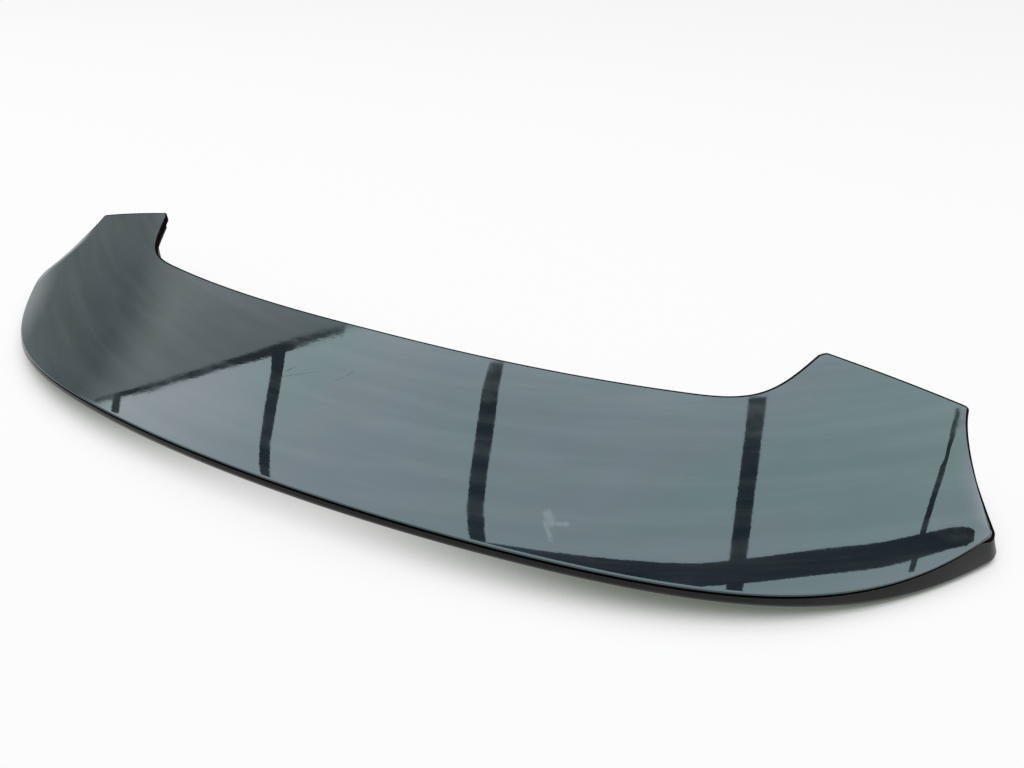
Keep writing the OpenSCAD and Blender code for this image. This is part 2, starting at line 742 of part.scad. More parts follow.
place() upper_skin();
place() lower_panel();
place() mirror([1, 0, 0]) stud(inner_stud);  // stud_inner_left
place() stud(inner_stud);  // stud_inner_right
place() mirror([1, 0, 0]) stud(outer_stud);  // stud_outer_left
place() stud(outer_stud);  // stud_outer_right
place() mirror([1, 0, 0]) stud_seal(inner_stud);  // stud_seal_inner_left
place() stud_seal(inner_stud);  // stud_seal_inner_right
place() mirror([1, 0, 0]) stud_seal(outer_stud);  // stud_seal_outer_left
place() stud_seal(outer_stud);  // stud_seal_outer_right
place() edge_strip(col_n - last_front, last_front);  // front_strip
place() mirror([1, 0, 0]) horn_strip();  // horn_strip_left
place() horn_strip();  // horn_strip_right
place() deck_strip();
place() mirror([1, 0, 0]) buffer(buffer_at);  // buffer_left
place() buffer(buffer_at);  // buffer_right
place() mirror([1, 0, 0]) clip();  // clip_left
place() clip();  // clip_right
place() each_side() for (p = front_screw_pts) screw(p);  // front_screws
place() mirror([1, 0, 0]) for (p = horn_screw_pts) screw(p);  // horn_screws_left
place() for (p = horn_screw_pts) screw(p);  // horn_screws_right
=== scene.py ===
# %% [markdown]
# # A painted roof spoiler, dressed for its picture
# The real part is two shells: a gloss painted skin on top, and a satin black panel under it whose
# lip shows along the trailing edge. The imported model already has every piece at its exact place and
# size, but its curved faces are flat facets. This lesson makes smooth pieces from the same sizes,
# lets them stand for the faceted ones, and gives each its finish, its light and its wear.

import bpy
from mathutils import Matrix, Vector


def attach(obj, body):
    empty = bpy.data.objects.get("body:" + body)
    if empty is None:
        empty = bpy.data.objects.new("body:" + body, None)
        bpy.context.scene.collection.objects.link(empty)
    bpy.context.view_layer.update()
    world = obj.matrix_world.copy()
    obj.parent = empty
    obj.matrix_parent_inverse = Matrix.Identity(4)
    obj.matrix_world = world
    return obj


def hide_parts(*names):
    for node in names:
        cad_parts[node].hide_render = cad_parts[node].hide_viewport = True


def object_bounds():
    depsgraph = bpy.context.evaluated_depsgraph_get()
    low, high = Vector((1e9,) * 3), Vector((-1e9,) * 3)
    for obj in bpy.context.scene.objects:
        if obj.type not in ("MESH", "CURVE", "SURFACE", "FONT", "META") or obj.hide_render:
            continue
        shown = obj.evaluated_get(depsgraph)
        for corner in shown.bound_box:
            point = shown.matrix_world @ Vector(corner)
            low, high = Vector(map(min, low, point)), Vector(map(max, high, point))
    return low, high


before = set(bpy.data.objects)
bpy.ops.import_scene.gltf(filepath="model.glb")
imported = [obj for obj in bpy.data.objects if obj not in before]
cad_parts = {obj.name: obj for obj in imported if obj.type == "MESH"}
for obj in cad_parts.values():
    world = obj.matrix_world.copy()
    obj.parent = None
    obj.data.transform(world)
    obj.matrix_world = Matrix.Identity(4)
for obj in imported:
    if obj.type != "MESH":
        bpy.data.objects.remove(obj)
cad_low, cad_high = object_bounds()
print("packed nodes:", len(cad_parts))

# %% Libraries and units
import math

import bpy
import numpy as np
from mathutils import Matrix, Vector

MM = 0.001
scene = bpy.context.scene
print("part, mm:", [round((h - l) / MM, 1) for l, h in zip(cad_low, cad_high)])

# %% [markdown]
# ## The camera
# The picture was taken with a wide lens, close to the part and above it. Its place was found by
# fitting a pinhole camera to the outline, so it is written as a place, two angles and a small roll.
# A camera could also be aimed with a Track To constraint, but a matrix built from its own three
# axes says exactly what it does and needs no extra object.

# %% Camera
VIEW_WIDTH = 1024
FOCAL_PX = 710.0
SENSOR_MM = 36.0
CAMERA_YAW = math.radians(25.96)
CAMERA_PITCH = math.radians(35.62)
CAMERA_ROLL = -0.0166
CAMERA_PLACE = np.array([409.1, -475.4, 474.8])


def camera_axes(yaw, pitch, roll):
    """Forward dips by pitch and turns left by yaw; right is level; up is right x forward; then both roll."""
    forward = np.array([-math.sin(yaw) * math.cos(pitch), math.cos(yaw) * math.cos(pitch), -math.sin(pitch)])
    level = np.array([math.cos(yaw), math.sin(yaw), 0.0])
    upright = np.cross(level, forward)
    right = math.cos(roll) * level + math.sin(roll) * upright
    up = math.cos(roll) * upright - math.sin(roll) * level
    return right, up, forward


right, up, forward = camera_axes(CAMERA_YAW, CAMERA_PITCH, CAMERA_ROLL)
turn = Matrix([[right[k], up[k], -forward[k]] for k in range(3)]).to_4x4()
camera = bpy.data.objects.new("camera", bpy.data.cameras.new("camera"))
camera.data.sensor_width = SENSOR_MM
camera.data.lens = FOCAL_PX / VIEW_WIDTH * SENSOR_MM
camera.data.clip_start = 0.01
camera.data.clip_end = 60.0
camera.matrix_world = Matrix.Translation(Vector(CAMERA_PLACE * MM)) @ turn
scene.collection.objects.link(camera)
scene.camera = camera
scene.view_settings.view_transform = "Standard"
print("lens, mm:", round(camera.data.lens, 2))

# %% [markdown]
# ## Grids of points
# Every new piece here is a sheet of points on a grid, worked out with numpy and closed where the
# real piece is closed. A few helpers carry them all. The first ones number the faces of a grid, and
# measure the volume of a closed mesh. That volume has a sign, and the sign tells whether the faces
# point outwards.

# %% Faces of a grid


def grid_quads(rows, cols, first=0, close_rows=False, close_cols=False):
    """Quads of a grid numbered row by row from first; closing joins the last row or column to the first."""
    r = np.arange(rows if close_rows else rows - 1)[:, None]
    c = np.arange(cols if close_cols else cols - 1)[None, :]
    r2, c2 = (r + 1) % rows, (c + 1) % cols
    corners = [r * cols + c, r * cols + c2, r2 * cols + c2, r2 * cols + c]
    return first + np.stack([np.broadcast_to(k, (r.size, c.size)) for k in corners], -1).reshape(-1, 4)


def band_quads(a, b):
    """Quads between two closed rows of point numbers."""
    return np.stack([a, b, np.roll(b, -1), np.roll(a, -1)], -1)


def signed_volume(points, quads):
    """The sum over all quads of (a dot (b cross c) + a dot (c cross d)) / 6, seen from the mean point."""
    centred = points - points.mean(0)
    a, b, c, d = (centred[quads[:, k]] for k in range(4))
    return float((a * (np.cross(b, c) + np.cross(c, d))).sum() / 6)


print("quads of a 3 by 4 grid:", len(grid_quads(3, 4)))

# %% Arrays into an object


def make_piece(name, points, quads, caps=(), finish=None, slot=None, replaces=(), sharp=None, second=None):
    """One object on the root body, from points in mm; second is a finish and a 1 for each quad with it."""
    if signed_volume(points, quads) < 0:
        quads = quads[:, ::-1]
        caps = [cap[::-1] for cap in caps]
    mesh = bpy.data.meshes.new(name)
    mesh.from_pydata((points * MM).tolist(), [], quads.tolist() + [list(map(int, cap)) for cap in caps])
    mesh.update()
    mesh.polygons.foreach_set("use_smooth", np.ones(len(mesh.polygons), bool))
    if sharp is not None:
        mesh.set_sharp_from_angle(angle=math.radians(sharp))
    mesh.materials.append(finish)
    if second:
        mesh.materials.append(second[0])
        mesh.polygons.foreach_set("material_index", np.concatenate([second[1], np.zeros(len(caps), int)]))
    piece = bpy.data.objects.new(name, mesh)
    scene.collection.objects.link(piece)
    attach(piece, "root")
    if replaces:
        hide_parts(*replaces)
    print(name, "faces:", len(mesh.polygons))
    return piece


print("pieces can be made")

# %% [markdown]
# ## Soft corners and lofts
# A moulded part has no sharp corner. Bevel could round the finished mesh, but rounding the flat
# profile first keeps the grid even. A loft joins a row of such profiles into one closed skin. Small
# solids are joined as arrays, each with its faces turned outwards first.

# %% Profiles and solids
CORNER_SHARE = 0.45


def soften(section, radii, steps=4):
    """Each corner p of a closed section becomes (1-t)^2 a + 2t(1-t) p + t^2 b, with a and b up to r away."""
    back = np.roll(section, 1, axis=-2) - section
    ahead = np.roll(section, -1, axis=-2) - section
    back_len = np.linalg.norm(back, axis=-1, keepdims=True)
    ahead_len = np.linalg.norm(ahead, axis=-1, keepdims=True)
    r = np.asarray(radii, float)[:, None]
    a = section + back / back_len * np.minimum(r, CORNER_SHARE * back_len)
    b = section + ahead / ahead_len * np.minimum(r, CORNER_SHARE * ahead_len)
    t = np.linspace(0, 1, steps)[:, None]
    a, p, b = a[..., None, :], section[..., None, :], b[..., None, :]
    curve = (1 - t) ** 2 * a + 2 * t * (1 - t) * p + t**2 * b
    return curve.reshape(*section.shape[:-2], -1, section.shape[-1])


def loft(sections):
    """Sections of equal length in a row as one closed skin: its points, its quads and its two end caps."""
    count, size = sections.shape[:2]
    ends = [np.arange(size)[::-1], (count - 1) * size + np.arange(size)]
    return sections.reshape(-1, 3), grid_quads(count, size, close_cols=True), ends


def outwards(points, quads, caps=()):
    """The same solid with every face turned so that its volume is positive."""
    if signed_volume(points, quads) < 0:
        return points, quads[:, ::-1], [cap[::-1] for cap in caps]
    return points, quads, list(caps)


def joined(solids):
    """Several solids as one set of points, quads and caps, with the point numbers moved along."""
    facing = [outwards(*solid) for solid in solids]
    firsts = np.concatenate([[0], np.cumsum([len(points) for points, _, _ in facing])])[:-1]
    points = np.concatenate([solid[0] for solid in facing])
    quads = np.concatenate([solid[1] + first for solid, first in zip(facing, firsts)])
    caps = [cap + first for solid, first in zip(facing, firsts) for cap in solid[2]]
    return points, quads, caps


square = np.array([[0.0, 0.0], [10.0, 0.0], [10.0, 10.0], [0.0, 10.0]])
print("a square with soft corners has", len(soften(square, [2.0] * 4)), "points")

# %% [markdown]
# ## The sizes
# These are the part's own sizes, in millimetres, as its solids have them. Y counts from the middle
# of the trailing edge, and the whole part is moved back by MID_Y at the end, to sit in the packed
# frame. PLAY moves it a hair further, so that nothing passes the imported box.

# %% Sizes of the outline and the painted surface
HORN_X = 560.0  # outer corner of a horn
INNER_X = 428.0  # inner corner of a horn
CORNER_X = 592.0  # trailing corner
CHORD = 200.0  # trailing edge to front edge on the centre line
FRONT_SWEEP = 123.0  # how far the front edge's curve has come forward at HORN_X
FRONT_POWER = 2.25
TRAIL_SWEEP = 133.0  # the same for the wide arc of the trailing edge, at CORNER_X
TIP_SWEEP = 93.0  # what the rounded end of the trailing edge adds there
TIP_POWER = 6.6
FILLET_START = 330.0  # where the front edge leaves its curve for the horn
CORNER_R = 5.0
END_Y = 325.0  # horn's end at its outer corner
INNER_Y = 329.0  # and at its inner corner
SKIN_LIFT = 56.5  # painted surface at the middle of the trailing edge
RISE = 34.0  # climb from there to the front edge
RISE_SHARE = 0.66  # the even share of that climb
CROWN = 91.0  # drop from the centre line out to HORN_X
CROWN_SHARE = 0.735  # the share of that drop that grows with the square
CROWN_FADE = 0.31  # how much of the drop has gone at the front edge
LIP_MID = 2.8  # height of the lip's sloping face on the centre line
LIP_SLOPE = 0.5  # how far that face leans out for each millimetre of height
PLAY = 0.02
MID_Y = PLAY - cad_low[1] / MM - LIP_SLOPE * LIP_MID
print("span over the corners, mm:", 2 * CORNER_X)

# %% [markdown]
# ## The painted surface as one formula
# The top is a height over each point of the plan: it rises towards the front a little faster than
# a straight line, and drops towards both ends like a crown that fades on the way forward. It could
# be sculpted or drawn with a few Bezier patches. A formula keeps the reflections clean, since they
# show every ripple of a hand-made surface.

# %% Height of the painted surface


def skin_height(x, y):
    """Lift + rise (r v + (1-r) v^2) - crown (c s^2 + (1-c) s^4)(1 - fade v), v = y/chord, s = |x|/horn."""
    v = y / CHORD
    s = np.abs(x) / HORN_X
    climb = RISE * (RISE_SHARE * v + (1 - RISE_SHARE) * v**2)
    crown = CROWN * (CROWN_SHARE * s**2 + (1 - CROWN_SHARE) * s**4)
    return SKIN_LIFT + climb - crown * (1 - CROWN_FADE * v)


def front_y(x):
    """The front edge: chord + sweep (|x|/horn)^power."""
    return CHORD + FRONT_SWEEP * (np.abs(x) / HORN_X) ** FRONT_POWER


def trail_y(x):
    """The trailing edge: sweep s^2 as a wide arc, and tip s^power that rounds it into the corner."""
    s = np.abs(x) / CORNER_X
    return TRAIL_SWEEP * s**2 + TIP_SWEEP * s**TIP_POWER


print("height at the front, mm:", float(skin_height(0.0, CHORD)))

# %% [markdown]
# ## The outline
# Half of each edge is drawn as short runs of points: the swept front edge, the horn's inside fillet
# and the horn's end, then the side, then the trailing edge. The other half is its mirror image. A
# NURBS curve could draw it too, but the grid below needs as many points along the front as along
# the trailing edge, each with its partner.

# %% Curves


def bezier(points, t):
    """The Bezier curve of any number of control points, by repeated blending of neighbours."""
    level = [np.asarray(p, float) for p in points]
    t = np.asarray(t, float)[:, None]
    while len(level) > 1:
        level = [a + (b - a) * t for a, b in zip(level, level[1:])]
    return level[0]


def corner_arc(a, corner, b, t, reach=0.56):
    """A softened corner from a to b: a cubic whose two handles go the share reach towards the corner."""
    a, corner, b = (np.asarray(p, float) for p in (a, corner, b))
    return bezier([a, a + (corner - a) * reach, b + (corner - b) * reach, b], t)


def unit(v):
    """A vector over its own length."""
    return v / np.linalg.norm(v, axis=-1, keepdims=True)


def end_y(x):
    """The straight end of a horn, leaning: inner_y - (inner_y - end_y)(x - inner)/(horn - inner)."""
    return INNER_Y - (INNER_Y - END_Y) * (x - INNER_X) / (HORN_X - INNER_X)


print("half way round a corner:", corner_arc((0, 0), (1, 0), (1, 1), [0.5]).round(3))

# %% The fillet and the side
FILLET_HANDLES = (0.44, 0.48)
FILLET_AIM = (0.45, 0.89)
SIDE_HANDLE = 0.66
SIDE_LEAN = 0.11
fillet_a = np.array([FILLET_START, front_y(FILLET_START)])
fillet_d = np.array([INNER_X, INNER_Y])
fillet_len = np.linalg.norm(fillet_d - fillet_a)
front_slope = FRONT_SWEEP * FRONT_POWER * (FILLET_START / HORN_X) ** (FRONT_POWER - 1) / HORN_X
fillet_b = fillet_a + unit(np.array([1.0, front_slope])) * fillet_len * FILLET_HANDLES[0]
fillet_c = fillet_d - unit(np.array(FILLET_AIM)) * fillet_len * FILLET_HANDLES[1]
fillet = [fillet_a, fillet_b, fillet_c, fillet_d]
fillet_stop = 1 - CORNER_R / fillet_len
side_a = np.array([CORNER_X, TRAIL_SWEEP + TIP_SWEEP])
side_c = np.array([HORN_X, END_Y])
side_drop = END_Y - side_a[1]
side_b = np.array([HORN_X - SIDE_LEAN * side_drop * (1 - SIDE_HANDLE), side_a[1] + side_drop * SIDE_HANDLE])
side = [side_a, side_b, side_c]
soft_share = CORNER_R / side_drop
trail_stop = CORNER_X - CORNER_R
horn_stop = HORN_X - CORNER_R
horn_start = INNER_X + CORNER_R
side_foot, side_top = bezier(side, [soft_share, 1 - soft_share])
fillet_end = bezier(fillet, [fillet_stop])[0]
print("fillet, mm long:", round(float(fillet_len), 1))

# %% Half edges
FRONT_POINTS = 97
FILLET_POINTS = 61
INNER_CORNER_POINTS = 9
INNER_REACH = 0.3
END_POINTS = 81
HALF_CORNER_POINTS = 7
SIDE_POINTS = 49
first_half = np.linspace(0, 0.5, HALF_CORNER_POINTS)
second_half = np.linspace(0.5, 1, HALF_CORNER_POINTS)
inner_turn = np.linspace(0, 1, INNER_CORNER_POINTS)[1:-1]
horn_foot = (horn_start, end_y(horn_start))
horn_tip = (horn_stop, end_y(horn_stop))
trail_tip = (trail_stop, trail_y(trail_stop))
front_x = np.linspace(0, FILLET_START, FRONT_POINTS)[:-1]
end_x = np.linspace(horn_start, horn_stop, END_POINTS)
half_front = np.concatenate([
    np.stack([front_x, front_y(front_x)], -1),
    bezier(fillet, np.linspace(0, fillet_stop, FILLET_POINTS)),
    corner_arc(fillet_end, fillet_d, horn_foot, inner_turn, reach=INNER_REACH),
    np.stack([end_x, end_y(end_x)], -1),
    corner_arc(horn_tip, side_c, side_top, first_half[1:]),
])
trail_x = half_front[:1 - HALF_CORNER_POINTS, 0] * trail_stop / horn_stop
half_trail = np.concatenate([
    np.stack([trail_x, trail_y(trail_x)], -1),
    corner_arc(trail_tip, side_a, side_foot, first_half[1:]),
])
ease = (1 - np.cos(np.linspace(0, math.pi, SIDE_POINTS))) / 2
right_side = np.concatenate([
    corner_arc(trail_tip, side_a, side_foot, second_half[1:-1]),
    bezier(side, soft_share + (1 - 2 * soft_share) * ease),
    corner_arc(side_top, side_c, horn_tip, first_half[1:-1]),
])
print("points of half the front edge:", len(half_front))

# %% [markdown]
# ## One closed loop, and loops inside it
# The four edges joined make one loop. A loop moved inwards by some millimetres follows the mean
# direction of its two neighbours at each point. The rolled edge, the hem and the inside of the
# skin are all such loops at different depths.

# %% The outline loop


def mirrored(points):
    """The same points with x turned round."""
    return points * np.array([-1.0] + [1.0] * (points.shape[-1] - 1))


def both_halves(half):
    """A half that starts on the centre line, with its mirror image before it."""
    return np.concatenate([mirrored(half[:0:-1]), half])


def inward(points, closed=True):
    """Unit direction to the left of travel: the mean of the two segments at each point, turned a quarter."""
    if closed:
        before, after = points - np.roll(points, 1, axis=0), np.roll(points, -1, axis=0) - points
    else:
        steps = np.diff(points, axis=0)
        before, after = np.concatenate([steps[:1], steps]), np.concatenate([steps, steps[-1:]])
    way = unit(unit(before) + unit(after))
    return np.stack([-way[:, 1], way[:, 0]], -1)


trail_row = both_halves(half_trail)
front_row = both_halves(half_front)
outline = np.concatenate([trail_row, right_side, front_row[::-1], mirrored(right_side)[::-1]])
outline_in = inward(outline)
columns = len(trail_row)
rows = len(right_side) + 2
side_run = np.concatenate([trail_row[-1:], right_side, front_row[-1:]])
side_lengths = np.linalg.norm(np.diff(side_run, axis=0), axis=1)
row_share = np.concatenate([[0.0], np.cumsum(side_lengths)]) / side_lengths.sum()
print("loop points:", len(outline), "grid:", rows, "x", columns)

# %% [markdown]
# ## A softer roll down each flank
# The photograph shows a bright strip beside each flank that widens towards the trailing corner, and
# from the far side that corner has no kink. So the surface rolls over there on a larger radius. It
# could be a fillet of changing radius, but a drop that grows with the cube of the way into a narrow
# strip has the same look. Its bend starts from nothing, so the reflections cross it without a kink.

# %% Flank roll
FLANK_DROP = 5.5
FLANK_WIDTH = 30.0
FLANK_POINTS = 60
flank_line = bezier(side, np.linspace(0, 1, FLANK_POINTS))


def smooth(t):
    """3t^2 - 2t^3 between 0 and 1."""
    t = np.clip(t, 0, 1)
    return t * t * (3 - 2 * t)


def flank_drop(x, y):
    """Drop (1 - inside/width)^3, with inside the way in from the side edge; it fades out up the side."""
    inside = np.interp(y, flank_line[:, 1], flank_line[:, 0]) - np.abs(x)
    fade = 1 - smooth((y - flank_line[0, 1]) / (flank_line[-1, 1] - flank_line[0, 1]))
    return FLANK_DROP * fade * np.clip(1 - inside / FLANK_WIDTH, 0, 1) ** 3


def painted_height(x, y):
    """The painted surface with its flanks rolled over."""
    return skin_height(x, y) - flank_drop(x, y)


print("drop at the trailing corner, mm:", float(flank_drop(side_a[0], side_a[1])))

# %% [markdown]
# ## How deep the hem is along the loop
# The skin turns down 3.6 mm along the trailing edge, 7.6 mm along the front, and more down the side
# of each corner, where it also leans outwards. One number per loop point says how deep the hem is, a
# second how far out it leans, and a third how far it is tucked in behind the roll. They change
# smoothly through the corners, from TURN_AHEAD before the trailing edge's end over TURN_RUN.

# %% Hem depth and lean
SKIN_T = 3.0
EDGE_R = 1.5
EDGE_BAND = 0.9
HEM = 3.6
FRONT_HEM = 7.6
SIDE_HEM = 10.6
SIDE_FLARE = 4.0
HEM_IN = 3.5
TUCK = 1.6
TURN_AHEAD = 20.0
TURN_RUN = 27.0


def along(points):
    """Length from the first point to each."""
    return np.concatenate([[0.0], np.cumsum(np.linalg.norm(np.diff(points, axis=0), axis=1))])


trail_left = along(half_trail)[-1] - along(half_trail)
corner_turn = smooth((TURN_AHEAD - trail_left) / TURN_RUN)
side_turn = smooth((TURN_AHEAD + row_share[1:-1] * side_lengths.sum()) / TURN_RUN)
half_hem = HEM + (SIDE_HEM - HEM) * corner_turn
side_hem = HEM + (SIDE_HEM + (FRONT_HEM - SIDE_HEM) * row_share[1:-1] - HEM) * side_turn
half_flare = SIDE_FLARE * corner_turn
side_flare = SIDE_FLARE * (1 - row_share[1:-1]) * side_turn
half_tuck = TUCK * (1 - corner_turn)
side_tuck = TUCK * (1 - side_turn)
hem = np.concatenate([half_hem[:0:-1], half_hem, side_hem, np.full(columns, FRONT_HEM), side_hem[::-1]])
flare = np.concatenate([half_flare[:0:-1], half_flare, side_flare, np.zeros(columns), side_flare[::-1]])
tuck = np.concatenate([half_tuck[:0:-1], half_tuck, side_tuck, np.zeros(columns), side_tuck[::-1]])
print("hem, mm:", float(hem.min()), "to", round(float(hem.max()), 2))

# %% [markdown]
# ## The grid inside a loop
# Rows run from the trailing edge to the front edge. A point is a straight blend of its two partners,
# and near the ends it takes on some of the bow of the side edge. Each point then gets its height
# from the formula, so the surface stays true however the grid bends.

# %% Grid inside a loop
BOW_FROM = 0.8


def loop_to_grid(loop):
    """Straight blends between the two long edges, plus the side's bow times a weight that fades inwards."""
    low = loop[:columns]
    side_right = loop[columns:columns + rows - 2]
    high = loop[columns + rows - 2:2 * columns + rows - 2][::-1]
    side_left = loop[2 * columns + rows - 2:][::-1]
    t = row_share[:, None, None]
    sheet = low * (1 - t) + high * t
    reach = np.abs(np.linspace(-1, 1, columns))
    weight = (np.clip((reach - BOW_FROM) / (1 - BOW_FROM), 0, 1) ** 2)[None, :, None]
    bow_right = np.concatenate([[low[-1]], side_right, [high[-1]]])[:, None] - sheet[:, -1:]
    bow_left = np.concatenate([[low[0]], side_left, [high[0]]])[:, None] - sheet[:, :1]
    is_right = (np.arange(columns) > columns // 2)[None, :, None]
    return sheet + weight * np.where(is_right, bow_right, bow_left)


def with_height(plan, drop=0.0):
    """Plan points with the painted surface's height less a drop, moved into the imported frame."""
    z = painted_height(plan[..., 0], plan[..., 1]) - drop
    return np.stack([plan[..., 0], plan[..., 1] - MID_Y, z], -1)


def rim_numbers(first):
    """Point numbers round the border of a grid, in the loop's order."""
    n = np.arange(rows * columns).reshape(rows, columns) + first
    return np.concatenate([n[0], n[1:-1, -1], n[-1, ::-1], n[-2:0:-1, 0]])


print("grid points:", rows * columns)

# %% [markdown]
# ## The painted skin
# Going round its edge from the top, the skin rolls over on a 1.5 mm radius, drops down the hem,
# turns under, climbs inside and becomes the inner face. Along the trailing edge the hem is tucked
# in behind the roll, and the bare faces there carry painted shade; together they make the black
# line there. Each of these is one more loop of points. A Solidify modifier would give a wall of even
# thickness, but not the deeper hem at the sides.

# %% Skin rings


def ring(inset, drop):
    """The outline moved inwards by inset; its height is the surface's before the flank roll, less drop."""
    plan = outline + outline_in * np.broadcast_to(inset, hem.shape)[:, None]
    z = skin_height(outline[:, 0], outline[:, 1]) - drop
    return np.stack([plan[:, 0], plan[:, 1] - MID_Y, z], -1)


def roll_ring(a):
    """A ring on the rolled edge: r (1 - sin a) inside the outline and r (1 - cos a) under the surface."""
    return with_height(outline + outline_in * EDGE_R * (1 - math.sin(a)), EDGE_R * (1 - math.cos(a)))


ROLL_RINGS = 7
WALL_RINGS = 5
FOOT_SOFT = 0.4  # rounding at the foot of the hem
FOOT_BEND = 0.3  # the share of it where the rounding is half way
TUCK_NEAR = 0.85  # the share of the tuck that is there just under the roll
TUCK_NEAR_AT = 0.12
TUCK_FULL_AT = 0.2
FLARE_POWER = 1.5
rolled = [roll_ring(a) for a in np.radians(np.linspace(0, 90, ROLL_RINGS + 1))[1:]]
roll_foot = EDGE_R + flank_drop(outline[:, 0], outline[:, 1])
tuck_ring = [ring(TUCK_NEAR * tuck, roll_foot + TUCK_NEAR_AT)]
hem_top = roll_foot + TUCK_FULL_AT
hem_low = hem - FOOT_SOFT
fall = np.linspace(0, 1, WALL_RINGS + 1)[1:]
hem_wall = [ring(tuck - flare * s**FLARE_POWER, hem_top + (hem_low - hem_top) * s) for s in fall]
foot_bend = FOOT_SOFT * FOOT_BEND
hem_foot = [ring(tuck + foot_bend - flare, hem - foot_bend), ring(tuck + FOOT_SOFT - flare, hem)]
hem_back = [ring(SKIN_T - FOOT_SOFT - flare, hem), ring(SKIN_T - flare, hem - FOOT_SOFT)]
band = [with_height(outline + outline_in * EDGE_R)]
skin_rings = band + rolled + tuck_ring + hem_wall + hem_foot + hem_back
top_sheet = with_height(loop_to_grid(outline + outline_in * (EDGE_R + EDGE_BAND)))
under_sheet = with_height(loop_to_grid(outline + outline_in * HEM_IN), SKIN_T)
print("rings round the edge:", len(skin_rings))

# %% [markdown]
# The rings and the two sheets are numbered one after the other and joined by bands of faces. The
# paint covers the top sheet and, along the trailing edge, the next six bands, so it ends on the
# roll. Elsewhere it stops at the rim of the top sheet. One number for each face says whether it is
# painted or bare, and the bare faces carry the painted shade of the black edge line.

# %% Skin mesh
loop_n = len(outline)
sheet_n = rows * columns
ring_numbers = [sheet_n + k * loop_n + np.arange(loop_n) for k in range(len(skin_rings))]
under_first = sheet_n + len(skin_rings) * loop_n
path = [rim_numbers(0)] + ring_numbers + [rim_numbers(under_first)]
skin_quads = np.concatenate(
    [grid_quads(rows, columns)]
    + [band_quads(a, b) for a, b in zip(path, path[1:])]
    + [grid_quads(rows, columns, under_first)[:, ::-1]]
)
skin_points = np.concatenate([top_sheet.reshape(-1, 3)] + skin_rings + [under_sheet.reshape(-1, 3)])
# Faces from these bands on are bare, dull black: painted shade along the edge line.
BARE_SHADE_FROM_TRAIL = 6
BARE_SHADE_FROM_REST = 0
bare_shade_from = np.where(np.arange(loop_n) < columns, BARE_SHADE_FROM_TRAIL, BARE_SHADE_FROM_REST)
skin_bare_shade = np.concatenate(
    [np.zeros((rows - 1) * (columns - 1), int)]
    + [(bare_shade_from <= k).astype(int) for k in range(len(path) - 1)]
    + [np.ones((rows - 1) * (columns - 1), int)]
)
print("skin volume, cm3:", round(signed_volume(skin_points, skin_quads) / 1000, 1))

# %% [markdown]
# ## Turned shapes
# Studs, seals, buffers, pegs, pads, screws and bosses are all a profile turned about a vertical line.
# Blender's Screw or Spin could turn them, but here the radius can also change on the way round,
# which gives the studs their thread and the screw heads their star without any cutting.

# %% Turned shapes


def round_off(profile, radius, steps=3):
    """An open profile with its inner corners softened and its two ends kept."""
    profile = np.asarray(profile, float)
    soft = soften(profile, np.full(len(profile), radius), steps)
    return np.concatenate([profile[:1], soft[steps:-steps], profile[-1:]])


def turned(profile, place, height, sides=32, closed=False, swell=None):
    """(px + r cos a, py + r sin a, height + z) for a profile (r, z); swell(a, r, z) adds to r; two caps."""
    profile = np.asarray(profile, float)
    angle = np.linspace(0, 2 * math.pi, sides, endpoint=False)[None]
    radius, rise = profile[:, :1], profile[:, 1:]
    if swell is not None:
        radius = radius + swell(angle, radius, rise)
    x = place[0] + radius * np.cos(angle)
    y = place[1] - MID_Y + radius * np.sin(angle)
    z = np.broadcast_to(height + rise, x.shape)
    points = np.stack([x, y, z], -1).reshape(-1, 3)
    ends = [] if closed else [np.arange(sides), (len(profile) - 1) * sides + np.arange(sides)]
    solid = outwards(points, grid_quads(len(profile), sides, close_rows=closed, close_cols=True))
    return face_caps(solid, ends)


def face_caps(solid, ends):
    """The two end rings as faces that agree with the wall: each runs along the wall's edges backwards."""
    points, quads, _ = solid
    caps = []
    for end in ends:
        a, b = end[0], end[1]
        same_way = ((quads == a) & (np.roll(quads, -1, axis=1) == b)).any()
        caps.append(end[::-1] if same_way else end)
    return points, quads, caps


def tube(inner_r, outer_r, low, high, soft=0.5):
    """The closed profile of a ring of that bore and outside, with soft corners."""
    square = np.array([[inner_r, low], [outer_r, low], [outer_r, high], [inner_r, high]], float)
    return soften(square, np.full(4, soft), 3)


def mirror_solid(solid):
    """The same solid on the other side of the centre line, turned outwards again by reversing every face."""
    points, quads, caps = solid
    return mirrored(points), quads[:, ::-1], [cap[::-1] for cap in caps]


print("points of a small tube:", len(turned(tube(2.0, 3.0, 0.0, 5.0), (0.0, 0.0), 0.0, closed=True)[0]))

# %% [markdown]
# ## Where the fixings sit
# Everything that holds the spoiler to the car hangs from the deck or the land of the lower panel.
# The places follow from the outline: inner studs and pegs behind the front edge, the rest inside
# the horns. The heights follow the deck and the painted surface.

# %% Places of the fixings
LAND_DEPTH = 12.0  # land under the painted surface
LAND_W = 20.0
FIT_GAP = 0.3
PANEL_T = 2.6
DECK_TOP = SKIN_LIFT + RISE - 27.0
DECK_DROP = 31.0
PAD_DROP = 2.0  # a pad's underside below the deck
PAD_STACK = PAD_DROP + PANEL_T + 2.5
SCREW_STACK = PAD_DROP + PANEL_T + 1.7
STUD_BACK = 46.0  # inner studs and pegs behind the front edge
OUTER_BACK = 44.0  # outer studs behind the horn's end
LAND_MID = 17.5  # screws behind either edge
INNER_STUD_X = 170.0
STUD_X = 480.0
PEG_X = 300.0
CLIP_OFF = (-33.0, 6.0)  # clip from the outer stud
BUFFER_OFF = (42.0, 2.0)  # buffer from the outer stud
FRONT_SCREW_X = (60.0, 180.0, 300.0)
HORN_SCREW_X = (INNER_X + 34.0, HORN_X - 40.0)
inner_stud = (INNER_STUD_X, float(front_y(INNER_STUD_X)) - STUD_BACK)
outer_stud = (STUD_X, END_Y - OUTER_BACK)
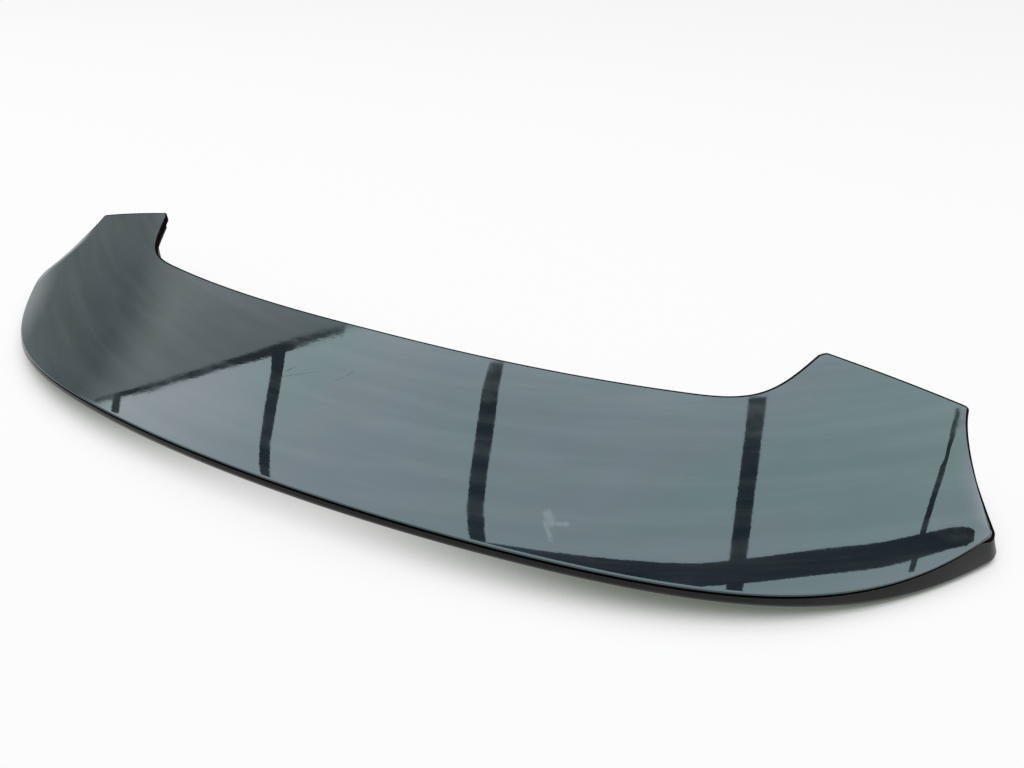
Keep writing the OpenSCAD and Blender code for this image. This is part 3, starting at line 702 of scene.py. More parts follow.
peg_at = (PEG_X, float(front_y(PEG_X)) - STUD_BACK)
clip_at = (outer_stud[0] + CLIP_OFF[0], outer_stud[1] + CLIP_OFF[1])
buffer_at = (outer_stud[0] + BUFFER_OFF[0], outer_stud[1] + BUFFER_OFF[1])
front_screws = [(x, float(front_y(x)) - LAND_MID) for x in FRONT_SCREW_X]
horn_screws = [(x, end_y(x) - LAND_MID) for x in HORN_SCREW_X]


def deck_height(x):
    """Underside of the deck: its height at the centre less drop (x/stud)^2."""
    return DECK_TOP - DECK_DROP * (x / STUD_X) ** 2


def pad_low(place):
    """Underside of a pad on the deck."""
    return float(deck_height(place[0])) - PAD_DROP


def land_low(place):
    """Underside of a screw's pad on the land."""
    return float(skin_height(*place)) - LAND_DEPTH - PAD_DROP


print("stud places, mm:", inner_stud, outer_stud)

# %% [markdown]
# ## The screw bosses
# Inside the skin, a short tube hangs over each panel screw, moulded in one piece with it. They are
# rings, open below for the screw, and their tops end inside the skin's thickness.

# %% Screw bosses
BOSS_R = 3.3
PILOT_R = 2.0
BOSS_BITE = 1.1  # how far a boss goes up into the skin
bosses = []
for place in front_screws + horn_screws:
    foot = land_low(place) + SCREW_STACK + FIT_GAP
    top = float(skin_height(*place)) - SKIN_T + BOSS_BITE
    boss = turned(tube(PILOT_R, BOSS_R, 0.0, top - foot, soft=0.3), place, foot, sides=20, closed=True)
    bosses += [boss, mirror_solid(boss)]
boss_points, boss_quads, _ = joined(bosses)
skin_quads = np.concatenate([skin_quads, boss_quads + len(skin_points)])
skin_points = np.concatenate([skin_points, boss_points])
skin_bare_shade = np.concatenate([skin_bare_shade, np.ones(len(boss_quads), int)])
print("bosses:", len(bosses))

# %% [markdown]
# ## Node helpers for the finishes
# Each finish is a small node tree on the Principled shader. One helper adds a node and fills its
# inputs, one adds a sum or product, one mixes two colours, and one stretches a range of values.
# All patterns read Object coordinates, which are the part's own metres, so nothing slides.

# %% Node helpers


def add(tree, kind, inputs=None, **settings):
    """A new node: settings are its options; inputs are numbers, colours or sockets, by name or number."""
    node = tree.nodes.new(kind)
    for key, value in settings.items():
        setattr(node, key, value)
    for key, value in (inputs or {}).items():
        if isinstance(value, bpy.types.NodeSocket):
            tree.links.new(value, node.inputs[key])
        else:
            node.inputs[key].default_value = value
    return node


def calc(tree, operation, a, b=0.0, c=0.0, clamp=False):
    """One step of arithmetic on up to three values."""
    return add(tree, "ShaderNodeMath", {0: a, 1: b, 2: c}, operation=operation, use_clamp=clamp).outputs[0]


def blend_colours(tree, share, a, b):
    """a where share is 0, b where it is 1."""
    node = add(tree, "ShaderNodeMix", {0: share, 6: a, 7: b}, data_type="RGBA")
    return node.outputs[2]


def stretch(tree, value, low, high, to_low=0.0, to_high=1.0):
    """Maps low..high to to_low..to_high and holds the ends, with a smooth ramp."""
    inputs = {0: value, 1: low, 2: high, 3: to_low, 4: to_high}
    return add(tree, "ShaderNodeMapRange", inputs, interpolation_type="SMOOTHSTEP").outputs[0]


def noise(tree, where, scale, detail=2.0, roughness=0.5):
    """Soft noise between 0 and 1, scale features to the metre."""
    inputs = {"Vector": where, "Scale": scale, "Detail": detail, "Roughness": roughness}
    return add(tree, "ShaderNodeTexNoise", inputs).outputs[0]


def squeezed(tree, where, turn_z, scale):
    """The same coordinates, turned about Z and scaled by axis, to draw a pattern out along one way."""
    inputs = {"Vector": where, "Rotation": (0, 0, turn_z), "Scale": scale}
    return add(tree, "ShaderNodeMapping", inputs).outputs[0]


def new_finish(name, **fixed):
    """A material whose fixed shader sockets are set by name: material, tree, shader, Object coordinates."""
    material = bpy.data.materials.new(name)
    material.use_nodes = True
    tree = material.node_tree
    shader = tree.nodes["Principled BSDF"]
    for key, value in fixed.items():
        shader.inputs[key.replace("_", " ")].default_value = value
    where = add(tree, "ShaderNodeTexCoord").outputs["Object"]
    return material, tree, shader, where


def raise_surface(tree, shader, height, strength, distance):
    """A bump from a height value; distance is the height in metres of a full step."""
    bump = add(tree, "ShaderNodeBump", {"Height": height, "Strength": strength, "Distance": distance})
    tree.links.new(bump.outputs[0], shader.inputs["Normal"])


print("node helpers:", ", ".join(f.__name__ for f in (add, calc, blend_colours, stretch, noise, squeezed)))

# %% [markdown]
# ## Marks along a line
# A scuff or a scratch sits at one place on the part. A short chain of vector nodes measures how far
# a point is from a line between two places, seen from above, and a ramp turns that distance into a
# mark with soft sides. An image could hold such marks, but this stays sharp at any distance.

# %% Marks
MARK_CORE = 0.2


def vector_step(tree, operation, inputs, output=0):
    """One step of arithmetic on vectors."""
    return add(tree, "ShaderNodeVectorMath", inputs, operation=operation).outputs[output]


def line_distance(tree, where, a, b):
    """Distance in plan, in metres, from the line a to b: |p - a - t (b - a)| with t held to 0..1."""
    way = (b[0] - a[0], b[1] - a[1], 0.0)
    flat = vector_step(tree, "MULTIPLY", {0: where, 1: (1.0, 1.0, 0.0)})
    start = vector_step(tree, "SUBTRACT", {0: flat, 1: (a[0], a[1], 0.0)})
    dot = vector_step(tree, "DOT_PRODUCT", {0: start, 1: way}, "Value")
    share = calc(tree, "DIVIDE", dot, way[0] ** 2 + way[1] ** 2, clamp=True)
    near = vector_step(tree, "SCALE", {0: way, "Scale": share})
    gap = vector_step(tree, "SUBTRACT", {0: start, 1: near})
    return vector_step(tree, "LENGTH", {0: gap}, "Value")


def line_marks(tree, where, lines):
    """The strongest of several lines, each (a, b, half width) in millimetres."""
    total = None
    for a, b, half_width in lines:
        far = line_distance(tree, where, [k * MM for k in a], [k * MM for k in b])
        mark = stretch(tree, far, MARK_CORE * half_width * MM, half_width * MM, 1.0, 0.0)
        total = mark if total is None else calc(tree, "MAXIMUM", total, mark)
    return total


print("a mark is full over this share of its half width:", MARK_CORE)

# %% [markdown]
# ## The paint
# The skin is a very dark blue under a clear gloss. It is used paint: a film of dust that thickens
# near the front edge, wipe marks along the part, specks, a few hairline scratches, and one pale
# scuff near the trailing edge. The colour of the paint hardly shows, because nearly all that the
# eye sees is reflection. So the base colour stays dark, and the dust and wear are drawn as a thin
# grey layer that also dulls the gloss. The faint waves of sprayed paint bend the reflections.

# %% Places of the marks
SCUFF = [
    ((255.0, -96.5), (261.0, -103.0), 6.0),
    ((256.0, -104.5), (266.5, -117.0), 3.0),
    ((262.0, -103.5), (272.5, -98.5), 3.2),
]
SCRATCHES = [
    ((-48.8, -51.2), (-17.5, -33.3), 0.5),
    ((3.6, -40.6), (10.9, -32.2), 0.6),
    ((10.9, -32.2), (14.8, -22.1), 0.6),
    ((-51.0, -44.0), (-48.4, -37.0), 0.9),
]
SMUDGE = [
    ((548.0, 42.0), (577.0, 44.0), 13.0),
    ((386.0, 80.0), (388.0, 55.0), 9.0),
    ((140.0, 26.0), (156.0, -6.0), 10.0),
]
print("marks on the paint:", len(SCUFF + SCRATCHES + SMUDGE))

# %% Dust and wipe marks
WIPE_BEND = 0.68  # the wipe marks follow y = bend x^2, in metres
WIPE_ALONG = 4.5
WIPE_ACROSS = 52.0
FILM_SHARE = 0.03
STREAK_SHARE = 0.055
EDGE_DUST_SHARE = 0.045
FRONT_BEND = FRONT_SWEEP * MM / (HORN_X * MM) ** FRONT_POWER


def dust_film(tree, where):
    """Soft clouds, streaks along a bent line, and more dust near the front edge, summed."""
    axes = add(tree, "ShaderNodeSeparateXYZ", {0: where})
    x, y = axes.outputs[0], axes.outputs[1]
    bent = calc(tree, "MULTIPLY_ADD", calc(tree, "MULTIPLY", x, x), -WIPE_BEND, y)
    along_wipe = calc(tree, "MULTIPLY", x, WIPE_ALONG)
    across_wipe = calc(tree, "MULTIPLY", bent, WIPE_ACROSS)
    wipe_place = add(tree, "ShaderNodeCombineXYZ", {0: along_wipe, 1: across_wipe}).outputs[0]
    wiped = noise(tree, wipe_place, 1.0, 4.0, 0.55)
    cloud = noise(tree, where, 11.0, 5.0, 0.6)
    film = calc(tree, "MULTIPLY", stretch(tree, cloud, 0.3, 0.8), FILM_SHARE)
    streaks = calc(tree, "MULTIPLY", stretch(tree, wiped, 0.38, 0.68), STREAK_SHARE)
    reach = calc(tree, "POWER", calc(tree, "ABSOLUTE", x), FRONT_POWER)
    front_way = calc(tree, "MULTIPLY_ADD", reach, -FRONT_BEND, y)
    near_front = calc(tree, "MULTIPLY", stretch(tree, front_way, -0.02, 0.034), EDGE_DUST_SHARE)
    return calc(tree, "ADD", calc(tree, "ADD", film, streaks), near_front, clamp=True)


print("the front edge bends by x to the power", FRONT_POWER)

# %% Specks and rubbed places
SPECK_SHARE = 0.35
SCUFF_SHARE = 0.22
SMUDGE_SHARE = 0.07


def specks_of_dust(tree, where):
    """Dots at the middle of some Voronoi cells: noise at each cell's own place chooses which."""
    cells = add(tree, "ShaderNodeTexVoronoi", {"Vector": where, "Scale": 260.0, "Randomness": 1.0})
    dot = stretch(tree, cells.outputs["Distance"], 0.04, 0.10, 1.0, 0.0)
    chosen = calc(tree, "GREATER_THAN", noise(tree, cells.outputs["Position"], 900.0), 0.66)
    return calc(tree, "MULTIPLY", dot, calc(tree, "MULTIPLY", chosen, SPECK_SHARE))


def rubbed_places(tree, where):
    """The scuff with ragged sides, and the smudges broken up into blotches."""
    ragged = stretch(tree, noise(tree, where, 240.0, 3.0, 0.6), 0.25, 0.5)
    ragged_share = calc(tree, "MULTIPLY", ragged, SCUFF_SHARE)
    scuff = calc(tree, "MULTIPLY", line_marks(tree, where, SCUFF), ragged_share)
    blotch = stretch(tree, noise(tree, where, 60.0, 4.0, 0.6), 0.25, 0.75)
    faint = calc(tree, "MULTIPLY", blotch, SMUDGE_SHARE)
    return scuff, calc(tree, "MULTIPLY", line_marks(tree, where, SMUDGE), faint)


print("strongest mark:", max(SPECK_SHARE, SCUFF_SHARE, SMUDGE_SHARE))

# %% Paint finish
PAINT_DEEP = (0.006, 0.011, 0.015, 1.0)
PAINT_LIGHT = (0.009, 0.015, 0.020, 1.0)
PAINT_SHINE = (0.72, 0.965, 1.0, 1.0)
DUST = (0.27, 0.31, 0.32, 1.0)
PAINT_GLOSS = 0.014
MARK_DULLS = 0.3
GROOVE_DEPTH = 6.0
WAVE_HEIGHT = 0.0000014


def make_paint():
    """Dark base with the marks mixed in as dust; marks add to the roughness, and scratches are grooves."""
    material, tree, shader, where = new_finish(
        "gloss_paint", Specular_IOR_Level=0.9, Specular_Tint=PAINT_SHINE
    )
    base = blend_colours(tree, noise(tree, where, 3.0), PAINT_DEEP, PAINT_LIGHT)
    marks = dust_film(tree, where)
    for more in (specks_of_dust(tree, where), *rubbed_places(tree, where)):
        marks = calc(tree, "ADD", marks, more, clamp=True)
    tree.links.new(blend_colours(tree, marks, base, DUST), shader.inputs["Base Color"])
    grooves = line_marks(tree, where, SCRATCHES)
    rough = calc(tree, "MULTIPLY_ADD", marks, MARK_DULLS, PAINT_GLOSS)
    rough = calc(tree, "MULTIPLY_ADD", grooves, MARK_DULLS, rough)
    tree.links.new(rough, shader.inputs["Roughness"])
    waves = calc(tree, "MULTIPLY_ADD", noise(tree, where, 150.0, 1.0), 3.0, noise(tree, where, 480.0, 1.0))
    height = calc(tree, "MULTIPLY_ADD", grooves, -GROOVE_DEPTH, waves)
    raise_surface(tree, shader, height, 1.0, WAVE_HEIGHT)
    return material


gloss_paint = make_paint()
print("finish:", gloss_paint.name)

# %% [markdown]
# ## The bare edge, with painted shade
# The skin is moulded in black plastic and sprayed from above, so the paint ends on the roll, and
# the hem and the inside stay bare and dull. That dull black is painted shade as well: it makes the
# black line round the part, where the shadow gap under the roll and dark reflections fall. It gets a
# material of its own without any gloss, since a mask in the paint would leave the shine on it.

# %% Bare edge finish, painted shade
# These blacks are painted shade for the shadow gap and dark reflections along the edge.
BARE_SHADE_DEEP = (0.004, 0.004, 0.005, 1.0)
BARE_SHADE_WORN = (0.009, 0.009, 0.010, 1.0)


def make_bare_edge_painted_shade():
    """Painted shade: dull black with slight patches and no gloss at all."""
    material, tree, shader, where = new_finish("bare_edge_painted_shade", Specular_IOR_Level=0.0)
    patches = stretch(tree, noise(tree, where, 60.0, 3.0), 0.35, 0.7)
    tree.links.new(blend_colours(tree, patches, BARE_SHADE_DEEP, BARE_SHADE_WORN), shader.inputs["Base Color"])
    tree.links.new(calc(tree, "MULTIPLY_ADD", patches, 0.1, 0.75), shader.inputs["Roughness"])
    return material


# The bare edge's glossless black is painted shade for the shadow gap and dark reflections.
bare_edge_painted_shade = make_bare_edge_painted_shade()
print("finish:", bare_edge_painted_shade.name)

# %% The skin as a piece
make_piece(
    "painted_skin", skin_points, skin_quads, finish=gloss_paint, slot="skin_paint", replaces=["upper_skin"],
    second=(bare_edge_painted_shade, skin_bare_shade),
)

# %% [markdown]
# ## The satin plastic
# The lower panel is moulded in black and never painted. Its mould has a fine grain, about a third
# of a millimetre, so it shines softly and shows no picture of the room. Handling has left it a
# little uneven, with dust in the grain.

# %% Satin plastic finish
SATIN_CLEAN = (0.006, 0.0065, 0.0065, 1.0)
SATIN_DUSTY = (0.013, 0.013, 0.012, 1.0)


def make_satin():
    """Near-black base with dust in patches; the grain is a fine noise that lifts the surface."""
    material, tree, shader, where = new_finish("satin_plastic", Specular_IOR_Level=0.22)
    patches = stretch(tree, noise(tree, where, 14.0, 5.0, 0.6), 0.4, 0.75)
    tree.links.new(blend_colours(tree, patches, SATIN_CLEAN, SATIN_DUSTY), shader.inputs["Base Color"])
    tree.links.new(calc(tree, "MULTIPLY_ADD", patches, 0.1, 0.24), shader.inputs["Roughness"])
    raise_surface(tree, shader, noise(tree, where, 2600.0, 2.0), 0.25, 0.00008)
    return material


satin_plastic = make_satin()
print("finish:", satin_plastic.name)

# %% [markdown]
# ## The lip and the rim of the lower panel
# The rim wall is one section carried along the outline, from one horn round the lip to the other.
# The section's own corners change on the way: the sloping face grows towards the trailing corners,
# its crease comes down with it, and the foot sinks to the ground. A Curve with a bevel profile
# can't change its section like this, so each station gets its own eight corners.

# %% Sizes of the lip
SEAM = 0.5
SKIRT_T = 3.4
TONGUE_IN = 4.0  # the wall that stands inside the hem
TONGUE_BACK = TONGUE_IN + PANEL_T
LIP_TIP = 19.0  # height of the sloping face at the trailing corners
LIP_POWER = 8.6
LIP_WALL = 4.2  # wall below the crease
FOOT_END = 582.0  # from here to the corner the lip rests on the ground
FOOT_RUN = 110.0  # and over this length before it the foot sinks to it
FOOT_R = 1.2
UNDER_SKIN = SKIN_T + FIT_GAP


def lip_face(x):
    """Height of the sloping face: mid + (tip - mid)(|x|/corner)^power."""
    return LIP_MID + (LIP_TIP - LIP_MID) * (np.abs(x) / CORNER_X) ** LIP_POWER


def crease_height(x):
    """Height of the lip's crease: that of the painted edge less the hem, the seam and the sloping face."""
    return skin_height(x, trail_y(x)) - HEM - SEAM - lip_face(x)


def lip_foot(x):
    """Underside of the lip: a thin wall below the crease, times a share that falls to 0 at each end."""
    share = smooth((FOOT_END - np.abs(x)) / FOOT_RUN)
    return (crease_height(x) - LIP_WALL) * share


print("lip foot at the centre, mm:", round(float(lip_foot(0.0)), 1))

# %% Stations of the rim
RIM_SIDE_POINTS = 50
rim_stop = 1 - TONGUE_IN / (2 * (side_c[1] - side_b[1]))
half_rim = np.concatenate([
    half_trail[:-1],
    corner_arc(trail_tip, side_a, side_foot, second_half),
    bezier(side, np.linspace(soft_share, rim_stop, RIM_SIDE_POINTS)[1:]),
])
rim_in = inward(half_rim, closed=False)
rim_in[0] = [0.0, 1.0]
rim_way = along(half_rim)
rim_past = np.maximum(0, rim_way - along(half_trail)[-1])
rim_share = rim_past / rim_past[-1]
rim_turn = smooth((rim_way - along(half_trail)[-1] + TURN_AHEAD) / TURN_RUN)
rim_hem = HEM + (SIDE_HEM + (FRONT_HEM - SIDE_HEM) * rim_share - HEM) * rim_turn
rim_flare = SIDE_FLARE * (1 - rim_share) * rim_turn
print("rim stations on each side:", len(half_rim))

# %% Rim sections
RIM_RADII = [0.3, 0.3, 0.35, 1.0, 0.9, 0.9, 0.3, 0.3]
LEDGE_IN = 0.2  # the ledge ends this far inside the hem's face
LEAN_POWER = 1.5
FOOT_LEAN = 0.3
LEAST_WALL = 0.5


def rim_sections(points, inner, hem_depth, lean, share):
    """Eight corners a station, from the tongue round to the inner face; share is the way up the side."""
    painted = skin_height(points[:, 0], points[:, 1])
    face = lip_face(points[:, 0])
    out = np.where(share > 0, LIP_SLOPE * LIP_TIP * (1 - share) ** LEAN_POWER, LIP_SLOPE * face)
    foot = np.where(share > 0, 0.0, lip_foot(points[:, 0]))
    ledge = painted - hem_depth - SEAM
    corner_crease = skin_height(*side_a) - HEM - SEAM - LIP_TIP
    crease = np.where(share > 0, corner_crease, painted - HEM - SEAM - face)
    crease = np.maximum(foot + FOOT_R + LEAST_WALL, crease)

    def corner(inset, z):
        plan = points + inner * np.broadcast_to(inset, painted.shape)[:, None]
        return np.stack([plan[:, 0], plan[:, 1] - MID_Y, np.broadcast_to(z, painted.shape)], -1)

    def under_skin(inset):
        plan = points + inner * inset
        return corner(inset, painted_height(plan[:, 0], plan[:, 1]) - UNDER_SKIN)

    return np.stack([
        under_skin(TONGUE_IN), corner(TONGUE_IN, ledge), corner(LEDGE_IN - lean, ledge),
        corner(-out, crease),
        corner(FOOT_LEAN * FOOT_R - out, foot + FOOT_R), corner(FOOT_R - out, foot), corner(SKIRT_T, foot),
        under_skin(TONGUE_BACK),
    ], 1)


rim_half = soften(rim_sections(half_rim, rim_in, rim_hem, rim_flare, rim_share), RIM_RADII)
rim_points, rim_quads, rim_caps = loft(both_halves(rim_half))
print("rim points:", len(rim_points))

# %% [markdown]
# ## The floor of the lower panel
# Behind the rim the panel climbs to a keel, steps up to the mounting deck, and ends in a land for
# the screws just inside the front edge. Its section is carried from the centre to the rim wall in
# columns that line up with the skin. Subdivision could round it, but the radii differ: the climb is
# soft and the steps are tight, and a radius for each corner keeps them apart.

# %% Sizes of the floor
FLOOR_IN = 2.0
WALL_IN = 5.0
KEEL_CLEAR = 1.5  # keel over the ground at both ends
KEEL_LIFT = 26.0
KEEL_AT = 0.56  # as a share of the way to the front edge
KEEL_RAMP = 0.07  # the step up to the deck, as a share of the same way
KEEL_STEP = 4.0  # first part of that step on the underside
KEEL_STEP_IN = 3.4  # and on the upper side
REST_X = 500.0  # the keel is lifted between here and the centre
REST_POWER = 1.2
LAST_MAIN = 530.6  # columns up to here keep the front edge's own points
CLIMB_AT = (0.35, 0.7)  # shares of the way to the keel
CLIMB_UP = (0.06, 0.42, 0.82)  # shares of the climb to the keel, the first at the toe
TOE_RUN = 16.0  # the nearly flat strip behind the rim
TOE_LIFT = 0.4
FLOOR_UP = 0.25  # the floor starts this far above the rim's foot
LAND_STEP = 4.0
OVER_SHIFT = (0.008, 0.02, 0.014)  # how far the upper side's corners are moved, as shares of the way
main_count = int(np.sum(half_front[:, 0] < LAST_MAIN))
front_inner = half_front - inward(half_front, closed=False) * TONGUE_IN
front_inner[0] = [0.0, CHORD - TONGUE_IN]


def trail_inside(x, depth):
    """A point on the trailing edge moved square to it, inwards, by depth."""
    slope = trail_y(x + 0.5) - trail_y(x - 0.5)
    normal = unit(np.stack([-slope, np.ones_like(x)], -1))
    return np.stack([x, trail_y(x)], -1) + normal * depth


def keel_height(x):
    """Clear + lift (1 - (x/rest)^2)^power, and just the clearance beyond rest."""
    return KEEL_CLEAR + KEEL_LIFT * np.maximum(0, 1 - (x / REST_X) ** 2) ** REST_POWER


print("keel at the centre, mm:", keel_height(0.0))

# %% Floor sections


def floor_sections(start, end, bow):
    """Twenty-two corners a column: the underside from the rim to the nose, then the upper side back."""
    length = np.linalg.norm(end - start, axis=-1)
    foot = lip_foot(start[:, 0])
    keel = keel_height(start[:, 0])
    deck = deck_height(end[:, 0])

    def at(v):
        v = np.broadcast_to(v, length.shape)
        straight = side_a + (side_c - side_a) * v[:, None]
        return start + (end - start) * v[:, None] + (bezier(side, v) - straight) * bow[:, None]

    def corner(v, z):
        plan = at(v)
        return np.stack([plan[:, 0], plan[:, 1] - MID_Y, np.broadcast_to(z, length.shape)], -1)

    def under(v, drop):
        plan = at(v)
        return corner(v, painted_height(plan[:, 0], plan[:, 1]) - drop)

    def climb(share):
        return foot + (keel - foot) * share

    t = PANEL_T
    out = [
        corner(0, foot + FLOOR_UP), corner(TOE_RUN / length, climb(CLIMB_UP[0]) + TOE_LIFT),
        corner(KEEL_AT * CLIMB_AT[0], climb(CLIMB_UP[1])), corner(KEEL_AT * CLIMB_AT[1], climb(CLIMB_UP[2])),
        corner(KEEL_AT, keel), corner(KEEL_AT + KEEL_RAMP / 2, keel + KEEL_STEP),
        corner(KEEL_AT + KEEL_RAMP, deck), corner(1 - (LAND_W + LAND_STEP) / length, deck),
        under(1 - LAND_W / length, LAND_DEPTH), under(1.0, LAND_DEPTH), under(1.0, UNDER_SKIN),
    ]
    over = [
        corner(0, foot + t + FLOOR_UP), corner(TOE_RUN / length, climb(CLIMB_UP[0]) + TOE_LIFT + t),
        corner(KEEL_AT * CLIMB_AT[0], climb(CLIMB_UP[1]) + t),
        corner(KEEL_AT * CLIMB_AT[1], climb(CLIMB_UP[2]) + t),
        corner(KEEL_AT - OVER_SHIFT[0], keel + t), corner(KEEL_AT + OVER_SHIFT[1], keel + t + KEEL_STEP_IN),
        corner(KEEL_AT + KEEL_RAMP - OVER_SHIFT[2], deck + t),
        corner(1 - (LAND_W + LAND_STEP + t) / length, deck + t),
        under(1 - (LAND_W + t) / length, LAND_DEPTH - t), under(1 - t / length, LAND_DEPTH - t),
        under(1 - t / length, UNDER_SKIN),
    ]
    return np.stack(out + over[::-1], 1)


print("each column of the floor has its own 22 corners")

# %% Floor from the centre to the wall
FLOOR_RADII = [0.3, 14, 14, 14, 5, 1.5, 3, 2.5, 2.5, 1.2, 0.3]
FILL_COLUMNS = 12
main_start = trail_inside(half_front[:main_count, 0] * trail_stop / horn_stop, FLOOR_IN)
main_bow = np.clip((main_start[:, 0] / CORNER_X - BOW_FROM) / (1 - BOW_FROM), 0, 1) ** 2
floor_main = floor_sections(main_start, front_inner[:main_count], main_bow)
side_in = unit(np.array([side_a[1] - side_b[1], side_b[0] - side_a[0]]))
wall_start = (side_a + side_in * WALL_IN)[None]
wall_end = np.array([[side_c[0] - WALL_IN, side_c[1] - TONGUE_IN]])
floor_wall = floor_sections(wall_start, wall_end, np.ones(1))
wall_top = skin_height(*side_c) - SKIN_T
floor_wall[..., 0] += (TONGUE_BACK - SKIRT_T) * (1 - np.clip(floor_wall[..., 2] / wall_top, 0, 1))
fill = np.linspace(0, 1, FILL_COLUMNS + 1)[1:, None, None]
floor_half = np.concatenate([floor_main, floor_main[-1:] * (1 - fill) + floor_wall * fill])
floor_half = soften(floor_half, FLOOR_RADII + FLOOR_RADII[::-1])
floor_points, floor_quads, floor_caps = loft(both_halves(floor_half))
print("floor points:", len(floor_points))

# %% [markdown]
# ## Pads, pegs and blades of the panel
# Round pads thicken the deck where a stud or buffer passes, and smaller ones thicken the land under
# each screw. A locating peg stands on each side, and a flat blade that carries a spring clip. All are
# moulded in one piece with the panel.

# %% Pads, pegs and blades
PAD_R = 13.0
STUD_BORE = 3.3
BUFFER_PAD_R = 10.0
BUFFER_BORE = 3.7
SCREW_PAD_R = 4.5
SCREW_BORE = 2.3
PEG_R = 4.0
PEG_REACH = 14.0
PEG_TIP = 1.5
PEG_FOOT = 0.8
PEG_PAD = 3.0
CAP_R = 1.2


def deck_pad(place, bore, outer):
    """A pad through the deck, as a ring with soft corners."""
    return turned(tube(bore, outer, 0.0, PAD_STACK, soft=0.6), place, pad_low(place), sides=48, closed=True)


def land_pad(place):
    """The pad under a screw, on the land."""
    ring_shape = tube(SCREW_BORE, SCREW_PAD_R, 0.0, SCREW_STACK, soft=0.4)
    return turned(ring_shape, place, land_low(place), sides=24, closed=True)


def peg():
    """A peg with a coned tip and a small foot, then its pad, from the peg's flat end up to the pad's top."""
    profile = [
        (CAP_R, -PEG_REACH), (PEG_R - PEG_TIP, -PEG_REACH), (PEG_R, PEG_TIP - PEG_REACH), (PEG_R, -PEG_FOOT),
        (PEG_R + PEG_FOOT, 0.0), (PEG_R + PEG_PAD, 0.0), (PEG_R + PEG_PAD, PAD_STACK), (CAP_R, PAD_STACK),
    ]
    return turned(round_off(profile, 0.5), peg_at, pad_low(peg_at))


print("peg at, mm:", np.round(peg_at, 1))

# %% Blades and all moulded details
BLADE_W = 16.0
BLADE_T = 2.4
BLADE_H = 15.0
BLADE_SQUARE = 0.3
BLADE_POINTS = 24
blade_rise = np.array([-BLADE_H, 0.15 - BLADE_H, 0.8 - BLADE_H, -1.0, -0.2, PAD_DROP + PANEL_T / 2])[:, None]
blade_grow = np.array([-0.8, -0.45, 0.0, 0.0, 0.5, 0.5])[:, None]


def blade():
    """Rounded rectangles, sign(c)|c|^0.3 of a circle, one above the other: tip, blade, root in the deck."""
    angle = np.linspace(0, 2 * math.pi, BLADE_POINTS, endpoint=False)
    circle = np.stack([np.cos(angle), np.sin(angle)], -1)
    corner = np.sign(circle) * np.abs(circle) ** BLADE_SQUARE
    x = clip_at[0] + corner[:, 0] * (BLADE_W / 2 + blade_grow)
    y = clip_at[1] - MID_Y + corner[:, 1] * (BLADE_T / 2 + blade_grow * 0.6)
    points = np.stack([x, y, np.broadcast_to(pad_low(clip_at) + blade_rise, x.shape)], -1)
    size = len(angle)
    solid = outwards(points.reshape(-1, 3), grid_quads(len(points), size, close_cols=True))
    return face_caps(solid, [np.arange(size), (len(points) - 1) * size + np.arange(size)])


half_solids = [deck_pad(inner_stud, STUD_BORE, PAD_R), deck_pad(outer_stud, STUD_BORE, PAD_R)]
half_solids += [deck_pad(buffer_at, BUFFER_BORE, BUFFER_PAD_R)]
half_solids += [land_pad(place) for place in front_screws + horn_screws] + [peg(), blade()]
panel_extras = half_solids + [mirror_solid(solid) for solid in half_solids]
print("moulded details:", len(panel_extras))

# %% The lower panel as a piece
panel_points, panel_quads, panel_caps = joined(
    [(rim_points, rim_quads, rim_caps), (floor_points, floor_quads, floor_caps)] + panel_extras
)
make_piece(
    "satin_panel", panel_points, panel_quads, caps=panel_caps,
    finish=satin_plastic, slot="panel_plastic", replaces=["lower_panel"], sharp=50,
)

# %% [markdown]
# ## Steel, foam and rubber
# The fixings are zinc-plated steel with the slight cloudiness of plating, dark spring steel, foam
# with open pores where it was cut, and rubber with a bloom. Each is a small tree of its own, since
# no two of them wear alike.

# %% Steel finishes


def make_steel(name, dark, pale, rough):
    """Metal between two greys in plating patches, with fine scratches that change the roughness."""
    material, tree, shader, where = new_finish(name, Metallic=1.0)
    patches = stretch(tree, noise(tree, where, 160.0, 4.0, 0.6), 0.35, 0.7)
    tree.links.new(blend_colours(tree, patches, dark, pale), shader.inputs["Base Color"])
    fine = noise(tree, squeezed(tree, where, 0.6, (1.0, 9.0, 3.0)), 700.0, 2.0)
    tree.links.new(calc(tree, "MULTIPLY_ADD", fine, 0.2, rough), shader.inputs["Roughness"])
    raise_surface(tree, shader, fine, 0.3, 0.00003)
    return material


zinc_steel = make_steel("zinc_steel", (0.50, 0.50, 0.52, 1.0), (0.63, 0.63, 0.64, 1.0), 0.28)
spring_steel = make_steel("spring_steel", (0.10, 0.10, 0.11, 1.0), (0.17, 0.17, 0.18, 1.0), 0.38)
print("finishes:", zinc_steel.name, spring_steel.name)

# %% Foam and rubber finishes
# The darker pore colour is painted shade in the pressed-in cells.
FOAM_PORE_SHADE = (0.012, 0.012, 0.012, 1.0)
FOAM_TOP = (0.042, 0.042, 0.043, 1.0)
RUBBER_BLACK = (0.013, 0.013, 0.013, 1.0)
RUBBER_BLOOM = (0.035, 0.034, 0.033, 1.0)


def make_foam():
    """Matt dark foam: small round cells from a Voronoi pattern press into the surface, with painted shade in
    them.
    """
    material, tree, shader, where = new_finish("cell_foam", Specular_IOR_Level=0.2)
    cells = add(tree, "ShaderNodeTexVoronoi", {"Vector": where, "Scale": 900.0}).outputs["Distance"]
    pits_and_shade = stretch(tree, cells, 0.1, 0.55)
    tree.links.new(blend_colours(tree, pits_and_shade, FOAM_PORE_SHADE, FOAM_TOP), shader.inputs["Base Color"])
    tree.links.new(calc(tree, "MULTIPLY_ADD", pits_and_shade, 0.1, 0.85), shader.inputs["Roughness"])
    raise_surface(tree, shader, pits_and_shade, 0.8, 0.0004)
    return material


